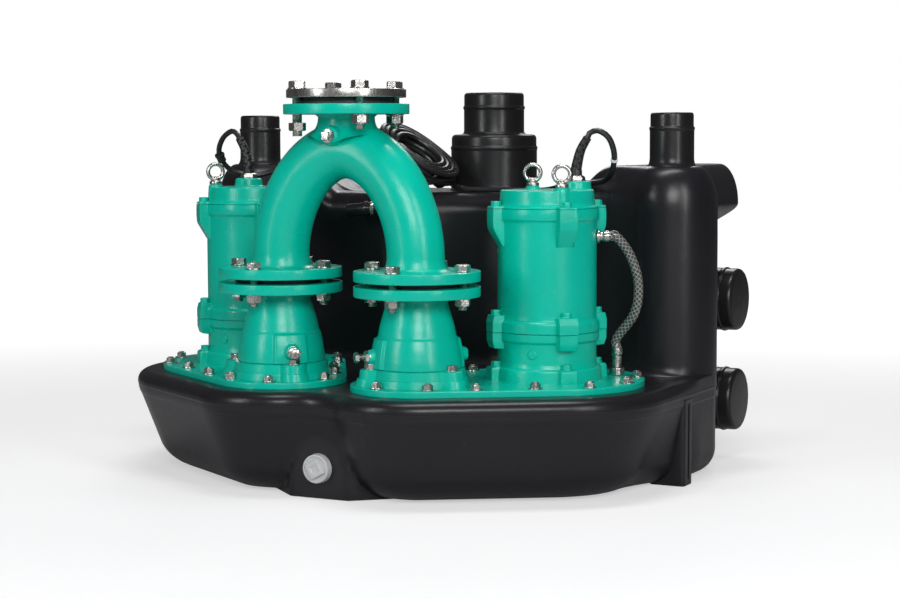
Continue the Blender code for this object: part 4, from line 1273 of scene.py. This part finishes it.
for sign, word in SIDES:
    out = np.array((sign * math.cos(SCREW_ANGLE), math.sin(SCREW_ANGLE), 0))
    at = np.array((sign * VALVE[0], 0, 0.222)) + out * 0.0785
    screw = [disc(0.0105, 0.0, 0.0015), hex_head(0.0088, 0.0065, 0.0016), thread(0.0050, 0.0, 0.024, 0.0015),
             moved(hex_head(0.0075, 0.0060, 0.0180))]
    add_piece("lift_screw_" + word, along_direction(screw, at, out), bolt_steel)
plug_rows = rounded([(0, 0.0120), (0.0060, 0.0120), (0.0066, 0.0112), (0.0066, 0.0035)],
                    [0, 0.0005, 0.0008, 0], 4)
vent_plug = [turned(plug_rows, around=48, section=squircle), disc(0.0112, 0.0, 0.0040, 0.0010)]
add_piece("vent_plug", along_direction(vent_plug, (0, -0.058, 0.566), (0, -1, 0)), bolt_steel)

# %% [markdown]
# ## Lifting eyes
#
# A lifting eye is a cast ring on a collar. The ring's section is a little flattened towards the
# hole, and it flows into the collar. Ring point = centre + (R + r cos b) * (cos a, sin a) in its
# own plane + r sin b across it, with r growing near the foot.

# %% Lifting eyes
EYE_TURN = math.radians(20)


def eye_shape(turn):
    """Ring on a collar, with its plane turned about the upright."""
    a, b = circle(72)[:, None], circle(18)
    near_foot = np.exp(-((turn_from(a, -math.pi / 2) / 0.45) ** 2))
    r = 0.0034 + 0.0016 * near_foot
    out = 0.0130 + r * np.cos(b)
    points = np.stack([out * np.cos(a), r * 1.05 * np.sin(b) + 0 * a, out * np.sin(a) + 0.505], -1)
    points = np.vstack([points, points[:1]])
    ring = patch(points, close=(False, False))
    collar = turned(rounded([(0, 0.4955), (0.0062, 0.4955), (0.0075, 0.4900), (0.0105, 0.4885),
                             (0.0105, 0.4838), (0, 0.4838)],
                            [0, 0.002, 0.002, 0.001, 0.0006, 0], 5), around=48)
    c, s = math.cos(turn), math.sin(turn)
    spin = np.array(((c, -s, 0), (s, c, 0), (0, 0, 1)))
    return [moved(ring, spin), collar]


for sign, word in SIDES:
    for place_word, angle in eye_angles.items():
        at = (sign * (PUMP[0] + EYE_R * math.cos(angle)), PUMP[1] + EYE_R * math.sin(angle), 0)
        turn = EYE_TURN if sign > 0 else EYE_TURN + math.radians(28 if place_word == "front" else 8)
        add_piece(f"eye_{word}_{place_word}", [moved(s, shift=at) for s in eye_shape(turn)],
                  eye_steel, [f"lifting_eye_{word}_{place_word}"])

# %% [markdown]
# ## Glands and ribbed reliefs
#
# The cable leaves the cover through a gland nut and a rubber relief that keeps it from kinking.
# The relief is a tapered sleeve whose surface is cut by slots, alternately on opposite sides,
# like a ladder. In the sweep this is a second factor on the radius: for each row a square wave
# along the sleeve, worked on the front and back by turns.

# %% Glands and reliefs
gland_profile = rounded([(0.0065, 0.5012), (0.0098, 0.5012), (0.0118, 0.4990), (0.0125, 0.4960),
                         (0.0125, 0.4924)], [0, 0.001, 0.001, 0.001, 0], 4)
relief_path = read_evenly(smooth_line(RELIEF, 200), 260)
s = np.linspace(0, 1, 260)[:, None]
taper = 0.0092 + (0.0066 - 0.0092) * s
count = 11
wave = ((s * count) % 1.0)
turn = circle(48)
window = ease(0.30, 0.38, wave) * ease(0.92, 0.84, wave) * ease(0.10, 0.13, s) * ease(0.97, 0.94, s)
half = ((s * count).astype(int) % 2).astype(float)
facing = np.where(half > 0.5, ease(0.05, 0.25, np.cos(turn * 2)), ease(0.05, 0.25, -np.cos(turn * 2)))
relief_r = taper - 0.0030 * window * facing
for sign, word in SIDES:
    nut_at = ((PUMP + GLAND) * (sign, 1)).tolist() + [0]
    add_piece("gland_" + word, [turned(gland_profile, nut_at, around=60, section=hexagon)],
              eye_steel, ["cable_gland_" + word])
    add_piece("relief_" + word, [swept(relief_path * (sign, 1, 1), relief_r, 48)], relief_rubber,
              ["bend_relief_" + word])

# %% [markdown]
# ## Cable ties
#
# A narrow pale tie holds the right cable's loop, and a rubber clamp sits on the left one.

# %% Ties


def band_on(line, at_share, width, radius, around=24):
    """Short sleeve round a line, with rounded ends."""
    here = int(at_share * (len(line) - 1))
    t = line[here + 1] - line[here - 1]
    profile = rounded([(radius * 0.9, width / 2), (radius, width / 2), (radius, -width / 2),
                       (radius * 0.9, -width / 2)], [0, 0.0006, 0.0006, 0], 4)
    return turned(profile, line[here], t, around)


loop_right = smooth_line(RUNS["right"], 100)
loop_left = smooth_line(RUNS["left"], 100)
add_piece("loop_tie", [band_on(loop_right, 0.13, 0.0045, 0.0058)], tie_white)
add_piece("loop_clamp", [band_on(loop_left, 0.20, 0.012, 0.0075), band_on(loop_left, 0.18, 0.004, 0.0088)],
          relief_rubber)

# %% [markdown]
# ## Vent hoses
#
# A braided hose runs from each motor's upper ring down to a fitting on the plate. It is held at
# both ends and bows outwards. Its UV map counts turns along it, so that the yarns keep their
# slant however it bends.

# %% Vent hoses
HOSE_R = 0.0078
for sign, word in SIDES:
    foot = np.array((sign * 0.366, 0.238, DECK + 0.0403))
    a20 = math.radians(20)
    out = np.array((sign * math.cos(a20), math.sin(a20), 0))
    first = np.array((sign * PUMP[0], PUMP[1], 0.405)) + out * (0.0795 + 0.0209)
    route = [first, first + out * 0.004, first + out * 0.010, (sign * 0.398, 0.212, 0.375),
             (sign * 0.407, 0.226, 0.330), (sign * 0.398, 0.234, 0.280), foot + (0, 0, 0.020),
             foot + (0, 0, 0.004), foot]
    line = smooth_line(route, 120)
    hose = add_piece("braided_hose_" + word, [swept(line, HOSE_R, 32, close=(False, False))],
                     hose_finish, ["vent_hose_" + word])
    mesh = hose.data
    layer = mesh.uv_layers.new(name="braid")
    _, n, b = along(line, None)
    spots = np.empty(len(mesh.vertices) * 3)
    mesh.vertices.foreach_get("co", spots)
    spots = spots.reshape(-1, 3) - (0, VALVE_LINE, 0)
    nearest = np.argmin(((spots[:, None] - line[None]) ** 2).sum(-1), axis=1)
    off = spots - line[nearest]
    u = np.arctan2((off * b[nearest]).sum(1), (off * n[nearest]).sum(1)) / math.tau
    v = nearest / len(line) * length_of(line) / (math.tau * HOSE_R)
    loops = np.empty(len(mesh.loops), int)
    mesh.loops.foreach_get("vertex_index", loops)
    lu, lv = u[loops], v[loops]
    for poly_start in (np.arange(len(mesh.polygons)) * 4,):
        corner_u = lu.reshape(-1, 4)
        wide = corner_u.max(1) - corner_u.min(1) > 0.5
        corner_u = np.where(wide[:, None] & (corner_u < 0), corner_u + 1, corner_u)
    layer.data.foreach_set("uv", np.column_stack([corner_u.ravel(), lv]).ravel())
    low_tail = [turned(rounded([(0, 0.044), (0.0098, 0.044), (0.0098, 0.034), (0.0080, 0.032),
                                (0.0080, 0.014), (0.0125, 0.012), (0.0125, 0), (0, 0)],
                               [0, 0.0008, 0.0008, 0.001, 0.001, 0.001, 0.0008, 0], 4),
                       (foot[0], foot[1], DECK + 0.0003), around=48)]
    add_piece("hose_tail_foot_" + word, low_tail, bolt_steel, ["hose_tail_low_" + word])
    high_tail = [turned(rounded([(0, 0.0205), (0.0092, 0.0205), (0.0092, 0.012), (0.0080, 0.010),
                                 (0.0080, 0.006), (0.0115, 0.005), (0.0115, 0), (0, 0)],
                                [0, 0.0008, 0.0008, 0.001, 0.001, 0.001, 0.0008, 0], 4),
                        first - out * 0.0206, out, 48)]
    add_piece("hose_tail_head_" + word, high_tail, bolt_steel, ["hose_tail_high_" + word])

# %% [markdown]
# ## Floor brackets
#
# At each side an upright bracket is moulded against the pillar, to bolt the tank down. It is a
# post with a slot down its outer face, and a ledge with a bolt at the top. The post is a rounded
# rectangle carried upwards, with the slot pushed into it.

# %% Floor brackets


def post_section(turn, half_x, half_y, power=9.0):
    """Rounded rectangle: half sizes over the p-norm of (cos, sin) scaled by them."""
    c, s = np.cos(turn) / half_x, np.sin(turn) / half_y
    return (np.abs(c) ** power + np.abs(s) ** power) ** (-1 / power)


def bracket(sign):
    """Post with a slot in its outer face, and a ledge on top."""
    turn = np.sort(np.concatenate([circle(96), np.linspace(-0.35, 0.35, 60) % math.tau]))
    z = rounded([(0.0,), (0.1400,), (0.1420,)], 0, 2)[:, 0]
    z = np.concatenate([[0.0, 0.001], np.linspace(0.004, 0.132, 30), [0.134, 0.1385, 0.1400, 0.1405]])
    grow = np.concatenate([[0.985, 1.0], np.ones(30), [1.0, 1.03, 1.03, 1.0]])
    r = post_section(turn, 0.0300, 0.0200)[None] * grow[:, None]
    across = r * np.sin(turn)
    depth = 0.012 * ease(0.0040, 0.0022, np.abs(across - 0.001)) * (np.cos(turn) > 0.3)
    depth = depth * ease(0.008, 0.012, z)[:, None] * ease(0.133, 0.129, z)[:, None]
    x = r * np.cos(turn) - depth
    points = np.stack([0.449 + x, 0.268 + across, z[:, None] + 0 * x], -1)
    return [(patch(points)[0] * (sign, 1, 1), *patch(points)[1:])]


for sign, word in SIDES:
    add_piece("anchor_bracket_" + word, bracket(sign), tank_black, ["floor_bracket_" + word], 30)
    bolt = set_at([disc(0.009, 0, 0.0015), hex_head(0.006, 0.005, 0.0015, 24)],
                  (sign * 0.466, 0.268, 0.1406))
    add_piece("anchor_bolt_" + word, bolt, bolt_steel)

# %% [markdown]
# ## Level sensor fitting
#
# Behind the pipe, a small black fitting leads the level sensor's air line out of the tank's bay
# wall. It is a short elbow with a hose clamp.

# %% Sensor fitting
elbow_line = smooth_line([(-0.110, 0.345, 0.438), (-0.110, 0.322, 0.438), (-0.116, 0.309, 0.438),
                          (-0.130, 0.303, 0.438), (-0.170, 0.303, 0.434)], 50)
elbow = [swept(elbow_line, 0.0115, 32), band_on(elbow_line, 0.62, 0.008, 0.0130, 48),
         turned(rounded([(0, 0.020), (0.0165, 0.020), (0.0165, 0.008), (0.020, 0.007), (0.020, 0)],
                        [0, 0.001, 0.001, 0.001, 0], 4), (-0.110, 0.3420, 0.438), (0, -1, 0), 48)]
add_piece("sensor_elbow", elbow, socket_black)
add_piece("sensor_clamp", [band_on(elbow_line, 0.50, 0.006, 0.0126, 48)], bolt_steel)

# %% [markdown]
# ## Floor and light
#
# The photograph is cut out on white, so the floor and the surroundings are nearly white, and the
# floor runs far back without an edge. The light is what makes black plastic readable: tall narrow
# boxes at the left and right draw the upright streaks on the sockets and the pillar, a wide one
# near the camera and one above draw the rim and the arch, and one behind lifts the outlines.

# %% Floor, surroundings and lamps
def wide_sheet(name, z, look):
    """Flat square of 30 m, which belongs to the stage and not to the station."""
    mesh = bpy.data.meshes.new(name)
    mesh.from_pydata([(-15, -15, z), (15, -15, z), (15, 15, z), (-15, 15, z)], [], [(0, 1, 2, 3)])
    sheet = bpy.data.objects.new(name, mesh)
    sheet.data.materials.append(look)
    bpy.context.scene.collection.objects.link(sheet)
    sheet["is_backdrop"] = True
    return sheet


floor_look = Look("pale studio floor", roughness=0.7)
wide_sheet("studio_floor", -0.0008, floor_look.finish(
    base_color=floor_look.mix(floor_look.noise(1.2, 2), (0.46, 0.46, 0.47), (0.50, 0.50, 0.51))))
glow_look = Look("white of the cut-out")
far = glow_look.node("ShaderNodeVectorMath", {"operation": "LENGTH"}, {0: glow_look.place}, 1)
glow_tone = glow_look.mix(glow_look.ramp(far, 0.8, 3.5), (0.5, 0.5, 0.5), (1.0, 1.0, 1.0))
glow = glow_look.node("ShaderNodeEmission", None, {"Color": glow_tone, "Strength": 1.0})
clear = glow_look.node("ShaderNodeBsdfTransparent")
both = glow_look.node("ShaderNodeAddShader", None, {0: glow, 1: clear})
glow_look.tree.links.new(both.socket, glow_look.tree.nodes["Material Output"].inputs["Surface"])
veil = wide_sheet("studio_veil", -0.0004, glow_look.material)
veil.visible_diffuse = veil.visible_glossy = veil.visible_shadow = False
veil.visible_transmission = False

world = bpy.data.worlds.new("studio surroundings")
world.use_nodes = True
backdrop = world.node_tree.nodes["Background"]
backdrop.inputs["Color"].default_value = (1.0, 1.0, 1.0, 1)
seen = world.node_tree.nodes.new("ShaderNodeLightPath").outputs["Is Camera Ray"]
dimmer = world.node_tree.nodes.new("ShaderNodeMapRange")
dimmer.inputs["To Min"].default_value = 0.07
dimmer.inputs["To Max"].default_value = 1.0
world.node_tree.links.new(seen, dimmer.inputs["Value"])
world.node_tree.links.new(dimmer.outputs[0], backdrop.inputs["Strength"])
bpy.context.scene.world = world
bpy.context.scene.view_settings.view_transform = "Standard"


def soft_box(name, at, aim, size, watts, tint=(1, 1, 1)):
    """Area lamp at a place, turned to face another."""
    lamp = bpy.data.lights.new(name, "AREA")
    lamp.shape, lamp.size, lamp.size_y = "RECTANGLE", *size
    lamp.energy, lamp.color = watts, tint
    thing = bpy.data.objects.new(name, lamp)
    thing.location = at
    thing.rotation_euler = (Vector(aim) - Vector(at)).to_track_quat("-Z", "Y").to_euler()
    bpy.context.scene.collection.objects.link(thing)
    return thing


soft_box("left upright box", (-1.25, -2.75, 1.25), (0, 0, 0.3), (0.25, 1.7), 26)
soft_box("right upright box", (2.65, -1.55, 1.25), (0.1, 0, 0.3), (0.25, 1.7), 26)
soft_box("camera side box", (1.9, -3.2, 1.7), (0, -0.1, 0.3), (1.4, 1.0), 62)
soft_box("top box", (0.3, -0.3, 2.7), (0, 0, 0.3), (1.6, 0.5), 30)
soft_box("back box", (-0.8, 2.4, 2.0), (0, 0.2, 0.4), (1.6, 0.8), 22)

# %% [markdown]
# ## Finish
#
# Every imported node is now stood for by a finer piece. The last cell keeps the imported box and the
# dressed box side by side, because the fine pieces may not make the station larger.

# %% Sizes and the end
print("faces added:", total["faces"])
[[[float(c) for c in corner] for corner in box] for box in (cad_box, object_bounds())]
